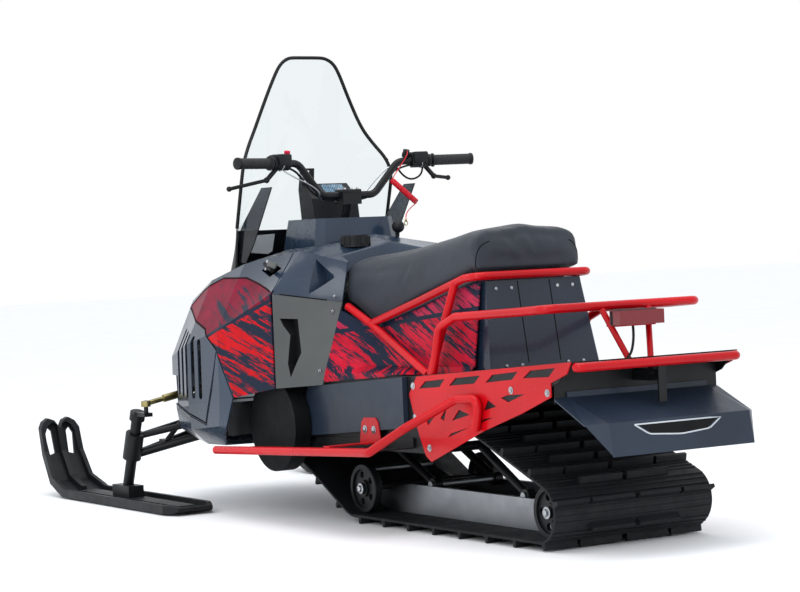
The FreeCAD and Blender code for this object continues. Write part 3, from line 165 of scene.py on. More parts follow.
def seat_vinyl():
    """Embossed vinyl: small cells over soft creases, which break its sheen into a fine sparkle."""
    made, tree, shader, place = new_finish("embossed slate vinyl")
    # the real cells are about 1 mm and are drawn at 1.9 mm to show
    cells = node(tree, "ShaderNodeTexVoronoi", "Distance", {"Vector": place, "Scale": spacing(1.923)},
                 feature="DISTANCE_TO_EDGE")
    grain = node(tree, RAMP, "Color", {"Fac": cells}, cutoff(0.0, 0.35))
    creases = node(tree, NOISE, "Fac", {"Vector": place, "Scale": spacing(111.111), "Detail": 3.0})
    clouds = {"Vector": place, "Scale": spacing(200.0), "Detail": 6.0, "Roughness": 0.6}
    tone = {"Fac": node(tree, NOISE, "Fac", clouds)}
    under = node(tree, BUMP, "Normal", {"Height": creases, "Distance": 0.0012})
    fill(tree, shader, {
        "Base Color": node(tree, RAMP, "Color", tone, shades("#1f262f", "#29313c", 0.3, 0.7)),
        "Normal": node(tree, BUMP, "Normal", {"Height": grain, "Distance": 0.00025, "Normal": under}),
        "Roughness": 0.46, "Specular IOR Level": 0.35, "Sheen Weight": 0.08,
    })
    return made


# sizes of the printed brush strokes in millimetres, and how much rarer than set each kind is
BRUSH_STROKES = [((500.0, 500.0, 41.6667), 0.0), ((166.6667, 166.6667, 8.33333), 0.04)]
STROKE_EDGE = 0.012
PARTING_HALF = 0.006


def graphic_panel(name, upper, lower, angle, split, crowd, cover):
    """Printed plastic: one red with a different painted light above and below a slate parting line, swept by
    ragged brush strokes and fine speckle.

    split holds the parting line's height in metres at the frame's middle, and its fall per metre towards
    the front. The dark strokes lean by an angle in degrees. They are denser above the line where crowd is
    positive and below it where it is negative, and a higher cover leaves more red.
    """
    made, tree, shader, place = new_finish(name)
    turn = {"Vector": place, "Rotation": (0.0, math.radians(angle), 0.0)}
    turned = node(tree, MAPPING, "Vector", turn)
    # height above the parting line
    axes = node(tree, "ShaderNodeSeparateXYZ", inputs={"Vector": place})
    fall = node(tree, MATH, 0, {0: axes.outputs["X"], 1: split[1], 2: -split[0]}, operation="MULTIPLY_ADD")
    above = node(tree, MATH, 0, {0: axes.outputs["Z"], 1: fall}, operation="ADD")
    side = node(tree, MATH, 0, {0: above, 1: 0.0}, operation="GREATER_THAN")
    band = node(tree, MATH, 0, {0: above, 1: 0.0, 2: PARTING_HALF}, operation="COMPARE")
    clouds = {"Vector": place, "Scale": spacing(62.5), "Detail": 5.0, "Roughness": 0.6}
    tone = {"Fac": node(tree, NOISE, "Fac", clouds)}
    high = node(tree, RAMP, "Color", tone, shades(*upper))
    low = node(tree, RAMP, "Color", tone, shades(*lower))
    # one red with painted light: a tone for the facet above the parting line and another below it
    ink = node(tree, MIX, "Result", {"Factor": side, "A": low, "B": high}, data_type="RGBA")
    masks = []
    for sizes, rarer in BRUSH_STROKES:
        stretch = {"Vector": turned, "Scale": [spacing(size) for size in sizes]}
        # the noise takes its sizes from the stretch
        strokes = {
            "Vector": node(tree, MAPPING, "Vector", stretch), "Scale": 1.0, "Detail": 6.0, "Roughness": 0.75,
        }
        dense = node(tree, MATH, 0, {0: above, 1: crowd, 2: node(tree, NOISE, "Fac", strokes)},
                     operation="MULTIPLY_ADD")
        masks.append(node(tree, RAMP, "Color", {"Fac": dense}, cutoff(cover + rarer, STROKE_EDGE)))
    # real speckle is under 1 mm and is drawn at 5 mm, in clouds of 200 mm
    specks = {"Vector": place, "Scale": spacing(4.7619), "Detail": 3.0, "Roughness": 0.6}
    speck = node(tree, RAMP, "Color", {"Fac": node(tree, NOISE, "Fac", specks)}, cutoff(0.62, 0.02))
    spread = node(tree, NOISE, "Fac", {"Vector": place, "Scale": spacing(200.0), "Detail": 2.0})
    where = node(tree, RAMP, "Color", {"Fac": spread}, cutoff(0.5, 0.05))
    masks.append(node(tree, MATH, 0, {0: speck, 1: where}, operation="MULTIPLY"))
    masks.append(band)
    dark = masks[0]
    for mask in masks[1:]:
        dark = node(tree, MATH, 0, {0: dark, 1: mask}, operation="MAXIMUM")
    skin = node(tree, NOISE, "Fac", {"Vector": place, "Scale": spacing(11.1111), "Detail": 3.0})
    print_on = {"Factor": dark, "A": ink, "B": linear("#1b2436")}
    fill(tree, shader, {
        "Base Color": node(tree, MIX, "Result", print_on, data_type="RGBA"),
        "Normal": node(tree, BUMP, "Normal", {"Height": skin, "Distance": 0.0001}),
        "Roughness": 0.42, "Specular IOR Level": 0.08, "Coat Weight": 0.02, "Coat Roughness": 0.15,
    })
    return made


def clear_sheet():
    """Polycarbonate formed over a mould: clear, slightly hazed, with a bright reflection at the edges."""
    made, tree, shader, place = new_finish("clear polycarbonate")
    clouds = {"Vector": place, "Scale": spacing(71.4286), "Detail": 8.0, "Roughness": 0.7}
    haze = {
        "Value": node(tree, NOISE, "Fac", clouds), "From Min": 0.35, "From Max": 0.75,
        "To Min": 0.0, "To Max": 0.12,
    }
    fill(tree, shader, {
        "Base Color": linear("#eef4f6"), "Transmission Weight": 1.0, "IOR": 1.2,
        "Roughness": node(tree, RANGE, "Result", haze),
    })
    return made


def smoked_sheet():
    """Smoked polycarbonate of the side deflectors: dark and glossy, and light still shows through."""
    made, tree, shader, place = new_finish("smoked polycarbonate")
    clouds = node(tree, NOISE, "Fac", {"Vector": place, "Scale": spacing(166.6667), "Detail": 4.0})
    fill(tree, shader, {
        "Base Color": node(tree, RAMP, "Color", {"Fac": clouds}, shades("#343a42", "#454c55")),
        "Transmission Weight": 0.85, "IOR": 1.25, "Roughness": 0.08,
    })
    return made


def lens(name, colour, ribs, depth, glow):
    """Acrylic moulded with upright ribs, which draw light and dark lines; their spacing in millimetres."""
    made, tree, shader, place = new_finish(name)
    wave = node(tree, WAVE, "Fac", {"Vector": place, "Scale": ripple(ribs)}, bands_direction="Y")
    fill(tree, shader, {
        "Base Color": linear(colour), "Emission Color": linear(colour), "Emission Strength": glow,
        "Normal": node(tree, BUMP, "Normal", {"Height": wave, "Distance": depth}),
        "Transmission Weight": 0.25, "Roughness": 0.14, "Coat Weight": 0.3,
    })
    return made


def grip_rubber():
    """Soft moulded rubber: dull black, with rings 5.7 mm apart."""
    made, tree, shader, place = new_finish("ringed grip rubber")
    rings = node(tree, WAVE, "Fac", {"Vector": place, "Scale": ripple(5.712)}, bands_direction="Y")
    under = node(tree, BUMP, "Normal", {"Height": rings, "Distance": 0.0012})
    skin = node(tree, NOISE, "Fac", {"Vector": place, "Scale": spacing(1.1111), "Detail": 3.0})
    clouds = node(tree, NOISE, "Fac", {"Vector": place, "Scale": spacing(33.3333), "Detail": 3.0})
    fill(tree, shader, {
        "Base Color": node(tree, RAMP, "Color", {"Fac": clouds}, shades("#0c0e10", "#16191c", 0.3, 0.7)),
        "Normal": node(tree, BUMP, "Normal", {"Height": skin, "Distance": 0.0002, "Normal": under}),
        "Roughness": 0.62,
    })
    return made


def display_glass():
    """Lit liquid-crystal panel: pale bars on blue-grey, each 8 mm by 4 mm, under smooth glass."""
    made, tree, shader, place = new_finish("lit liquid-crystal glass")
    # a brick is half a unit of the pattern wide
    bars = node(tree, "ShaderNodeTexBrick", "Color", {
        "Vector": place, "Scale": spacing(16.6667), "Mortar Size": 0.05,
        "Color1": linear("#7fa6c0"), "Color2": linear("#3d5e78"), "Mortar": linear("#1d2c3a"),
    })
    fill(tree, shader, {
        "Base Color": bars, "Emission Color": bars, "Emission Strength": 0.25, "Roughness": 0.1,
    })
    return made


# The grain of moulded and sprayed skins is really 0.3 to 1 mm. It is drawn at 1 to 7 mm, because finer grain
# wouldn't show from the camera.
FINISHES = {
    # rubber cured in a mould: dull and nearly black, with a coarse skin
    "track_rubber": finish("moulded track rubber", "#15181c", "#090b0d", (0.5, 0.75), 2.38, 0.0006),
    # injection-moulded polyamide: black, with a faint sheen
    "wheel_plastic": finish("moulded black polyamide", "#15181c", "#0c0e10", (0.4, 0.6), 2.0, 0.0002),
    # aluminium left as rolled: grey, with broad soft highlights
    "aluminium": finish("mill aluminium", "#a3a7ab", "#7f8489", (0.3, 0.5), 3.85, 0.0002, metal=1.0),
    # powder coat baked on steel: satin black, slightly pebbled
    "black_steel": finish("satin black powder coat", "#111316", "#090a0c", (0.35, 0.5), 1.67, 0.00015),
    # the same in bright red, with a thin gloss over the colour
    "red_steel": finish("red powder coat", "#c80414", "#b0020e", (0.24, 0.4), 2.63, 0.00012, coat=0.12,
                        shine=0.2),
    # ABS moulded in a polished tool: deep slate with clear reflections
    "body_plastic": finish("glossy slate ABS", "#26364a", "#1d2a3b", (0.2, 0.32), 6.67, 0.00005, coat=0.35),
    # ABS under a printed film: flat inks with a dim gloss, and one red painted in two tones of light on the
    # facets above and below the parting line
    "graphic_plastic": graphic_panel(
        "printed ABS, lower panels", ("#b92f4f", "#a02543"), ("#c41a34", "#ac1229"), 24, (0.53, 0.1), 0.05,
        0.495),
    # polypropylene moulded with a texture: black and dull
    "dark_plastic": finish("textured black polypropylene", "#14171b", "#0c0e11", (0.45, 0.6), 1.43, 0.0003),
    "seat_vinyl": seat_vinyl(),
    "red_lens": lens("ribbed red acrylic", "#7e0414", 7.854, 0.0004, 0.06),
    # zinc plate, passivated yellow: golden grey with a cloudy shine
    "plated_steel": finish("yellow zinc plate", "#b3a672", "#7b7350", (0.25, 0.45), 3.33, 0.0001, patch=40.0,
                           metal=1.0),
    "grip_rubber": grip_rubber(),
    "clear_plastic": clear_sheet(),
    # PVC drawn over the cord: bright red and smooth
    "red_cord": finish("red PVC sheath", "#d8102a", "#b80a20", (0.3, 0.4), 1.11, 0.00008),
}
# polyethylene sheet, pressed: slate, with a soft gloss
SLATE_SHEET = finish("pressed slate polyethylene", "#263243", "#1e2836", (0.36, 0.48), 2.5, 0.0002, coat=0.1)
# ABS of the seat box: darker than the body, as glossy
BOX_PLASTIC = finish("dark slate ABS", "#1c293b", "#15202f", (0.2, 0.32), 3.33, 0.0001, coat=0.3)
# ABS moulded in an etched tool: plain grey, satin
SATIN_PANEL = finish("satin grey ABS", "#545858", "#484c4c", (0.42, 0.55), 2.0, 0.00015)
# zinc plate, passivated clear: bright silver
BRIGHT = finish("clear zinc plate", "#c9ccd0", "#9ba0a6", (0.2, 0.35), 5.0, 0.0001, metal=1.0)
# extruded rubber: black, with a dull smooth skin
TRIM_RUBBER = finish("extruded black rubber", "#0e1012", "#070809", (0.5, 0.65), 1.67, 0.0001)
# painted shade in the gaps between panels and in seams: black without a highlight, so a joint reads as a gap
SEAM_SHADOW = finish("painted gap shade", "#08090b", "#040506", (0.6, 0.75), 3.33, 0.0001, shine=0.1)
# dull black: painted shade inside the air outlet and on the drive pulley, and the dark middle of the flap's
# panel
SHADE_AND_PANEL_BLACK = finish("dull black for painted shade and the flap panel", "#0a0c0f", "#050608", (0.6, 0.75), 3.33, 0.0001, shine=0.2)
# ABS of the stop button: pinkish red, smooth
RED_BUTTON = finish("red button ABS", "#e01040", "#b80c30", (0.3, 0.4), 2.0, 0.0001)
LAMP_GLASS = lens("ribbed clear acrylic", "#dfe6ea", 3.4907, 0.0012, 0.1)
SMOKED = smoked_sheet()
# printed ABS of the front quarters: one red painted in two tones of light on the facets above and below the
# parting line
QUARTER_PRINT = graphic_panel(
    "printed ABS, front quarters", ("#82022c", "#680222"), ("#cc0c18", "#b40810"), 20, (0.6485, 0.3205), -0.3,
    0.53)
# screen ink: pale grey and flat
PALE_LINE = finish("pale grey ink", "#c9ced4", "#b7bdc5", (0.4, 0.5), 3.33, 0.0001)
# nodes whose finish differs from their slot's usual one; the drive pulley is given painted shade in dull black
NODE_FINISHES = {
    "side_panel_left": SATIN_PANEL, "side_panel_right": SATIN_PANEL, "headlights": LAMP_GLASS,
    "front_quarter_left": QUARTER_PRINT, "front_quarter_right": QUARTER_PRINT, "mud_flap": SLATE_SHEET,
    "lower_covers": SLATE_SHEET, "seat_box": BOX_PLASTIC, "drive_pulley": SHADE_AND_PANEL_BLACK,
    "windshield_wings": SMOKED,
}


def dress_nodes():
    """Give each node of the frame its finish."""
    slots = {row["node"]: row["material_slot"] for row in frame["record"]["subparts"]}
    for name, piece in NODES.items():
        made = NODE_FINISHES.get(name, FINISHES[slots[name]])
        piece.data.materials.clear()
        piece.data.materials.append(made)
        if name.startswith("side_panel"):
            line_vent(piece)


# the air outlet seen from the side: its limits in x and in z
VENT_X = (1046.0, 1122.0)
VENT_Z = (405.0, 590.0)
# sideways part of a face's normal: above the first the face is the outlet's floor, below the second a wall
VENT_FLOOR = 0.985
VENT_WALL = 0.1


def line_vent(panel):
    """Painted shade: a dark liner on the inner faces of the air outlet."""
    panel.data.materials.append(SHADE_AND_PANEL_BLACK)
    low = at(VENT_X[0], 0, VENT_Z[0])
    high = at(VENT_X[1], 0, VENT_Z[1])
    for face in panel.data.polygons:
        spot = face.center
        sideways = abs(face.normal.y)
        inside = low.x < spot.x < high.x and low.z < spot.z < high.z
        if inside and (sideways > VENT_FLOOR or sideways < VENT_WALL):
            face.material_index = 1


# Making pieces

def only(piece):
    """Select one piece alone."""
    bpy.ops.object.select_all(action="DESELECT")
    piece.select_set(True)
    bpy.context.view_layer.objects.active = piece


def placed(name, made, body):
    """Name and dress the piece just added, bring its object to the origin and let it ride."""
    piece = bpy.context.object
    piece.name = name
    bpy.ops.object.transform_apply(location=True, rotation=True, scale=True)
    piece.data.materials.clear()
    piece.data.materials.append(made)
    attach(piece, body)
    return piece


def rounded(piece, width, segments=2):
    """Bevel the edges of a piece for good."""
    only(piece)
    bevel = piece.modifiers.new("edges", "BEVEL")
    bevel.width = width
    bevel.segments = segments
    bevel.limit_method = "ANGLE"
    bpy.ops.object.modifier_apply(modifier=bevel.name)
    bpy.ops.object.shade_smooth_by_angle(angle=math.radians(35))


def rod(name, start, end, radius, made, body, sides=24, edge=0.0008):
    """Round or six-sided pin between two points."""
    way = end - start
    bpy.ops.mesh.primitive_cylinder_add(
        vertices=sides, radius=radius, depth=way.length, location=(start + end) / 2,
        rotation=way.to_track_quat("Z", "Y").to_euler())
    piece = placed(name, made, body)
    rounded(piece, edge)
    return piece


def slab(name, middle, size, turn, made, body, edge=0.002):
    """Rectangular block, turned about its middle."""
    bpy.ops.mesh.primitive_cube_add(size=1.0, location=middle, rotation=turn)
    bpy.context.object.scale = size
    piece = placed(name, made, body)
    rounded(piece, edge)
    return piece


def thickened(piece, thick, offset):
    """Give a sheet its thickness: about its face at offset 0, below it at -1."""
    only(piece)
    plate = piece.modifiers.new("plate", "SOLIDIFY")
    plate.thickness = thick
    plate.offset = offset
    bpy.ops.object.modifier_apply(modifier=plate.name)


def joined(name, pieces):
    """One object out of several that ride on the same body."""
    only(pieces[0])
    for piece in pieces[1:]:
        piece.select_set(True)
    bpy.ops.object.join()
    pieces[0].name = name


def strand(name, points, radius, order, round_steps, long_steps):
    """Round cord along a smooth line, linked to the scene."""
    data = bpy.data.curves.new(name, "CURVE")
    data.dimensions = "3D"
    data.bevel_depth = radius
    data.bevel_resolution = round_steps
    data.resolution_u = long_steps
    spline = data.splines.new("NURBS")
    spline.points.add(len(points) - 1)
    for point, place in zip(spline.points, points):
        point.co = (*place, 1.0)
    spline.order_u = order
    spline.use_endpoint_u = True
    cord = bpy.data.objects.new(name, data)
    bpy.context.scene.collection.objects.link(cord)
    return cord


def line(name, points, radius, made, body, order=3):
    """Round strand with closed ends, made a mesh; order 2 gives it straight runs."""
    piece = strand(name, points, radius, order, 3, 6)
    piece.data.use_fill_caps = True
    only(piece)
    bpy.ops.object.convert(target="MESH")
    piece = placed(name, made, body)
    bpy.ops.object.shade_smooth()
    return piece


def landed(targets, start, way, lift=0.0):
    """First point where a ray meets any of the nodes, moved back by a lift."""
    best = None
    for name in targets:
        hit, place, normal, face = NODES[name].ray_cast(start, way)
        if hit and (best is None or (place - start).length < (best - start).length):
            best = place
    return None if best is None else best - way * lift


# rays to the flank start this far out, and those to the rear faces this far behind the origin
FLANK_OUT = 0.8
BOX_BEHIND = -1.2
FLAP_BEHIND = -1.6
STRIP_STEP = 0.012
# a strip's middle lies this share of its radius below the surface
STRIP_SUNK = 0.2


def side_strip(name, targets, outline, radius, made, body):
    """Strand laid on the left-hand flank along an outline in x and z, and its twin on the right."""
    points = []
    for (x0, z0), (x1, z1) in zip(outline, outline[1:]):
        a = at(x0, 0, z0)
        b = at(x1, 0, z1)
        count = max(2, int((b - a).length / STRIP_STEP))
        for k in range(count):
            spot = a.lerp(b, k / count)
            start = Vector((spot.x, FLANK_OUT, spot.z))
            place = landed(targets, start, Vector((0, -1, 0)), -STRIP_SUNK * radius)
            if place is not None:
                points.append(place)
    line(name + "_left", points, radius, made, body, order=2)
    line(name + "_right", [mirror(p) for p in points], radius, made, body, order=2)


# Camera, light and floor

# place in metres, angles in radians, and focal length in millimetres for a picture 36 mm wide
CAMERA_AT = (-5.9553, 3.6459, 0.7959)
HEADING = 0.55602
PITCH = 0.023873
ROLL = -0.042631
LENS = 106.56
PICTURE_WIDE = 36.0
# soft lamps: place, aim, width in metres and power in watts
LAMPS = {
    "sky": ((-0.5, 0.5, 5.5), (0, 0, 0.4), 4.0, 120.0),
    "key": ((-3.5, 6.0, 3.5), (0, 0, 0.5), 3.0, 110.0),
}
FLOOR_WIDE = 60.0
# the floor lies just below the track, so that the two don't coincide
FLOOR_Z = -0.001
WORLD_STRENGTH = 1.06


def add_camera():
    """Camera solved from the photograph: behind and to the left of the sled."""
    flat = math.cos(PITCH)
    look = Vector((math.cos(HEADING) * flat, -math.sin(HEADING) * flat, -math.sin(PITCH)))
    level = look.cross(Vector((0, 0, 1))).normalized()
    upright = level.cross(look)
    right = math.cos(ROLL) * level + math.sin(ROLL) * upright
    up = -math.sin(ROLL) * level + math.cos(ROLL) * upright
    matrix = Matrix((right, up, -look)).transposed().to_4x4()
    matrix.translation = Vector(CAMERA_AT)
    data = bpy.data.cameras.new("camera")
    data.lens = LENS
    data.sensor_width = PICTURE_WIDE
    data.sensor_fit = "HORIZONTAL"
    camera = bpy.data.objects.new("camera", data)
    camera.matrix_world = matrix
    bpy.context.scene.collection.objects.link(camera)
    bpy.context.scene.camera = camera


def area_light(name, place, aim, size, power):
    """Square soft lamp that faces its aim."""
    data = bpy.data.lights.new(name, "AREA")
    data.energy = power
    data.size = size
    light = bpy.data.objects.new(name, data)
    light.location = place
    light.rotation_euler = (Vector(aim) - Vector(place)).to_track_quat("-Z", "Y").to_euler()
    bpy.context.scene.collection.objects.link(light)


def add_studio():
    """Pale floor, white backdrop, and soft light from above and from the camera's side."""
    bpy.ops.mesh.primitive_plane_add(size=FLOOR_WIDE, location=(0, 0, FLOOR_Z))
    floor = bpy.context.object
    floor.name = "floor"
    # painted board: nearly white and matt
    paint = finish("pale floor paint", "#fafbfc", "#f6f8fa", (0.8, 0.9), 25.0, 0.0002, shine=0.1)
    floor.data.materials.append(paint)
    for name, (place, aim, size, power) in LAMPS.items():
        area_light(name, place, aim, size, power)
    world = bpy.data.worlds.new("studio")
    world.use_nodes = True
    tree = world.node_tree
    tree.nodes.clear()
    path = node(tree, "ShaderNodeLightPath")
    rays = {0: path.outputs["Is Camera Ray"], 1: path.outputs["Is Transmission Ray"]}
    seen = node(tree, MATH, 0, rays, operation="MAXIMUM")
    soft = node(tree, BACKGROUND, 0, {"Color": linear("#fafcff"), "Strength": WORLD_STRENGTH})
    white = node(tree, BACKGROUND, 0, {"Color": linear("#ffffff"), "Strength": 1.0})
    mixed = node(tree, "ShaderNodeMixShader", 0, {0: seen, 1: soft, 2: white})
    node(tree, "ShaderNodeOutputWorld", inputs={"Surface": mixed})
    bpy.context.scene.world = world
    bpy.context.scene.view_settings.view_transform = "Standard"


# Stop-switch cord

CORD_R = 1.5
COIL_R = 9.0
COIL_TURNS = 30
TURN_STEPS = 14
# the smooth line runs a little inside its points, which are set out by this much
COIL_SPREAD = 1.02
# share of the coil's radius at which its end turns begin
COIL_START = 0.45
LEAD = [
    (1252.0, -198.0, 1063.0), (1240.0, -193.0, 1060.0), (1231.0, -180.0, 1044.0), (1229.0, -155.0, 1015.0),
    (1230.0, -134.0, 990.0), (1232.0, -125.0, 977.0),
]
COIL = [(1232.0, -125.0, 977.0), (1140.0, -155.0, 904.0)]
TAIL = [
    (1143.0, -153.0, 904.0), (1158.0, -146.0, 892.0), (1163.0, -134.0, 879.0), (1159.0, -125.0, 866.0),
    (1151.0, -120.0, 855.0),
]


def add_tether():
    """One cord: a lead from the switch cap, the springy coil, and a short tail to the clip."""
    start = at(*COIL[0])
    end = at(*COIL[1])
    way = (end - start).normalized()
    across = way.orthogonal().normalized()
    other = way.cross(across)
    points = [at(*p) for p in LEAD[:-1]]
    radius = (COIL_R - CORD_R) * MM * COIL_SPREAD
    steps = COIL_TURNS * TURN_STEPS
    inset = 2 * CORD_R * MM
    for k in range(steps + 1):
        angle = 2 * math.pi * k / TURN_STEPS
        centre = start + way * (inset + ((end - start).length - 2 * inset) * k / steps)
        # the first and the last turn open out from the middle of the coil
        reach = radius * min(1.0, (COIL_START * TURN_STEPS + min(k, steps - k)) / TURN_STEPS)
        points.append(centre + across * reach * math.cos(angle) + other * reach * math.sin(angle))
    points += [at(*p) for p in TAIL[1:]]
    cord = strand("stop_cord", points, CORD_R * MM, 3, 2, 2)
    cord.data.materials.append(FINISHES["red_cord"])
    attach(cord, "handlebar")
    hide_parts("tether_lead", "tether_coil", "tether_tail")


# Seat

SEAT_VOXEL = 0.006
SOFT_PASSES = 10
TIGHT_PASSES = 14
FILL_PRESSURE = 4.0
FILL_FRAMES = 20
# how far the cover swells at most, and over which height above its base it comes to that
SEAT_SWELL = 0.005
SEAT_FLAT = 0.05
# upright seam of the seat cover, seen from the side: x at its top and foot, z at its top and foot
SEAT_SEAM = (352.0, 357.0, 786.0, 712.0)
SEAM_STEPS = 16
# the seam shows only on the flank, beyond this distance from the middle
SEAT_SEAM_OUT = 0.12


def smoothed(piece, passes):
    """Even out a mesh in a number of passes."""
    soft = piece.modifiers.new("soft", "SMOOTH")
    soft.factor = 0.5
    soft.iterations = passes
    bpy.ops.object.modifier_apply(modifier=soft.name)


def filled(seat):
    """Blow the cover up as cloth, and keep it near the solid's form."""
    rest = [vertex.co.copy() for vertex in seat.data.vertices]
    cloth = seat.modifiers.new("fill", "CLOTH")
    cloth.settings.use_pressure = True
    cloth.settings.uniform_pressure_force = FILL_PRESSURE
    cloth.settings.effector_weights.gravity = 0.0
    for step in range(1, FILL_FRAMES + 1):
        bpy.context.scene.frame_set(step)
    bpy.ops.object.modifier_apply(modifier=cloth.name)
    bpy.context.scene.frame_set(1)
    base = min(place.z for place in rest)
    for vertex, place in zip(seat.data.vertices, rest):
        moved = vertex.co - place
        # the pad is flat where it rests on its base
        limit = SEAT_SWELL * min(1.0, max(0.0, (place.z - base) / SEAT_FLAT))
        if moved.length > limit:
            vertex.co = place + moved.normalized() * limit


def add_seat():
    """Padded seat cover: the solid's form, softened and filled."""
    source = NODES["seat"]
    seat = bpy.data.objects.new("seat_cover", source.data.copy())
    bpy.context.scene.collection.objects.link(seat)
    only(seat)
    remesh = seat.modifiers.new("even", "REMESH")
    remesh.mode = "VOXEL"
    remesh.voxel_size = SEAT_VOXEL
    bpy.ops.object.modifier_apply(modifier=remesh.name)
    smoothed(seat, SOFT_PASSES)
    filled(seat)
    # the cover is drawn tight over its pad
    smoothed(seat, TIGHT_PASSES)
    smooth = seat.modifiers.new("round", "SUBSURF")
    smooth.levels = 1
    smooth.render_levels = 1
    bpy.ops.object.modifier_apply(modifier=smooth.name)
    bpy.ops.object.shade_smooth()
    seat.data.materials.clear()
    seat.data.materials.append(FINISHES["seat_vinyl"])
    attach(seat, "chassis")
    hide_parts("seat")
    return seat


def add_seat_seams(seat):
    """Upright seams where the cover's flanks meet its rear panel, drawn as strips of painted shade."""
    x_top, x_foot, z_top, z_foot = SEAT_SEAM
    for side, name in ((1, "left"), (-1, "right")):
        points = []
        for k in range(SEAM_STEPS + 1):
            x = x_top + (x_foot - x_top) * k / SEAM_STEPS
            z = z_top + (z_foot - z_top) * k / SEAM_STEPS
            start = at(x, side * FLANK_OUT / MM, z)
            hit, place, normal, face = seat.ray_cast(start, Vector((0, -side, 0)))
            if hit and abs(place.y) > SEAT_SEAM_OUT:
                points.append(place + Vector((0, 0.0004 * side, 0)))
        line("seat_seam_" + name, points, 0.0013, SEAM_SHADOW, "chassis", order=2)


# Screen's edge

SCREEN_Z = 843.0
SCREEN_NOSE = 1662.0
SCREEN_SIDE = 1505.0
SCREEN_HALF = 267.0
SCREEN_LEAN = 0.3
# the rubber's middle lies this far behind the sheet's outer face and at this share of its half width
EDGE_BACK = 1.5
EDGE_INWARD = 0.995
EDGE_R = 0.0054
# outline of the left half of the screen from the middle of its top down to its foot, in y and z
SCREEN_EDGE = [
    (0.0, 1368.0), (40.0, 1368.0), (66.0, 1366.0), (92.0, 1351.0), (112.0, 1322.0), (150.0, 1238.0),
    (190.0, 1150.0), (222.0, 1100.0), (255.0, 1049.0), (267.5, 1000.0), (268.0, 943.0), (267.0, 850.0),
]


def on_screen(y, z):
    """Point of the bowed screen at a given height and distance from the middle."""
    rise = SCREEN_NOSE - SCREEN_SIDE
    radius = (SCREEN_HALF ** 2 + rise ** 2) / (2 * rise)
    y_on = max(-SCREEN_HALF, min(SCREEN_HALF, y))
    x = SCREEN_NOSE - radius + math.sqrt(radius ** 2 - y_on ** 2)
    return at(x - SCREEN_LEAN * (z - SCREEN_Z) - EDGE_BACK, y_on * EDGE_INWARD, z)


def add_screen_edge():
    """Black rubber round the clear screen."""
    half = [on_screen(y, z) for y, z in SCREEN_EDGE]
    points = [mirror(p) for p in reversed(half[1:])] + half
    line("screen_edge", points, EDGE_R, TRIM_RUBBER, "hood")


# Instruments and controls

# display on the pod: its middle, its tilt, the way it faces, the sizes of bezel and glass, and where the glass
# lies from the middle
DISPLAY_AT = (1387.0, -18.0, 952.5)
DISPLAY_TILT = (0.0, math.radians(-37), 0.0)
DISPLAY_FACES = Vector((-0.602, 0.0, 0.799))
BEZEL_SIZE = (0.068, 0.112, 0.012)
GLASS_SIZE = (0.050, 0.076, 0.004)
GLASS_SHIFT = DISPLAY_FACES * 0.0052 + Vector((0, 0.006, 0))
# knobs below the display: x, z, and each one's y
KNOB_X = 1360.0
KNOB_Z = 930.0
KNOB_Y = (-52.0, -28.0, -4.0, 20.0)
KNOB_HIGH = 0.007
KNOB_R = 0.0045


def add_instruments():
    """Display with its bezel, and bright knobs, on the pod."""
    middle = at(*DISPLAY_AT)
    black = FINISHES["dark_plastic"]
    slab("display_bezel", middle, BEZEL_SIZE, DISPLAY_TILT, black, "chassis", 0.003)
    glass = middle + GLASS_SHIFT
    slab("display", glass, GLASS_SIZE, DISPLAY_TILT, display_glass(), "chassis", 0.001)
    knobs = []
    for y in KNOB_Y:
        foot = at(KNOB_X, y, KNOB_Z)
        top = foot + DISPLAY_FACES * KNOB_HIGH
        knobs.append(rod("knob", foot, top, KNOB_R, BRIGHT, "chassis"))
    joined("pod_knobs", knobs)


# cap that holds the bar: its middle, size, top, and the places of its bolts in x and y
CLAMP_AT = (1280.0, 0.0, 947.0)
CLAMP_SIZE = (0.050, 0.066, 0.012)
CLAMP_BOLT_FOOT = 951.0
CLAMP_BOLTS = [(1263.0, -22.0), (1263.0, 22.0), (1297.0, -22.0), (1297.0, 22.0)]


def add_clamp():
    """Bolted cap that holds the bar."""
    black = FINISHES["black_steel"]
    slab("bar_clamp", at(*CLAMP_AT), CLAMP_SIZE, (0, 0, 0), black, "handlebar", 0.003)
    bolts = []
    for x, y in CLAMP_BOLTS:
        foot = at(x, y, CLAMP_BOLT_FOOT)
        head = foot + Vector((0, 0, 0.007))
        bolts.append(rod("bolt", foot, head, 0.0055, BRIGHT, "handlebar", 6))
    joined("clamp_bolts", bolts)


# end of the bar and its inner bend, drawn on the left
BAR = [(1217.0, 403.0, 1035.0), (1272.0, 175.0, 1034.0)]
GRIP_LONG = 0.142
# switch block and lever clamp: distance past the grip, shift from the bar, size and edge
SWITCH_PARTS = [
    (0.026, (-0.008, 0, 0.010), (0.046, 0.040, 0.034), 0.005),
    (0.030, (0.026, 0, 0.012), (0.050, 0.034, 0.030), 0.006),
]
# screws on the lever clamp: middle past the grip, half their distance, and shift from the bar
SCREW_ALONG = 0.030
SCREW_HALF = 0.016
SCREW_SHIFT = Vector((0.026, 0, 0.027))
BAND_ALONG = 0.020
BAND_REACH = 0.0225
BAND_STEPS = 12
# cables drawn on the left, from the bar's bend to the middle
SWITCH_CABLE = [(1300.0, 140.0, 976.0), (1304.0, 100.0, 936.0), (1300.0, 60.0, 922.0), (1290.0, 24.0, 922.0)]
PULL_CABLE = [(1316.0, 122.0, 984.0), (1318.0, 78.0, 938.0), (1300.0, 30.0, 918.0)]
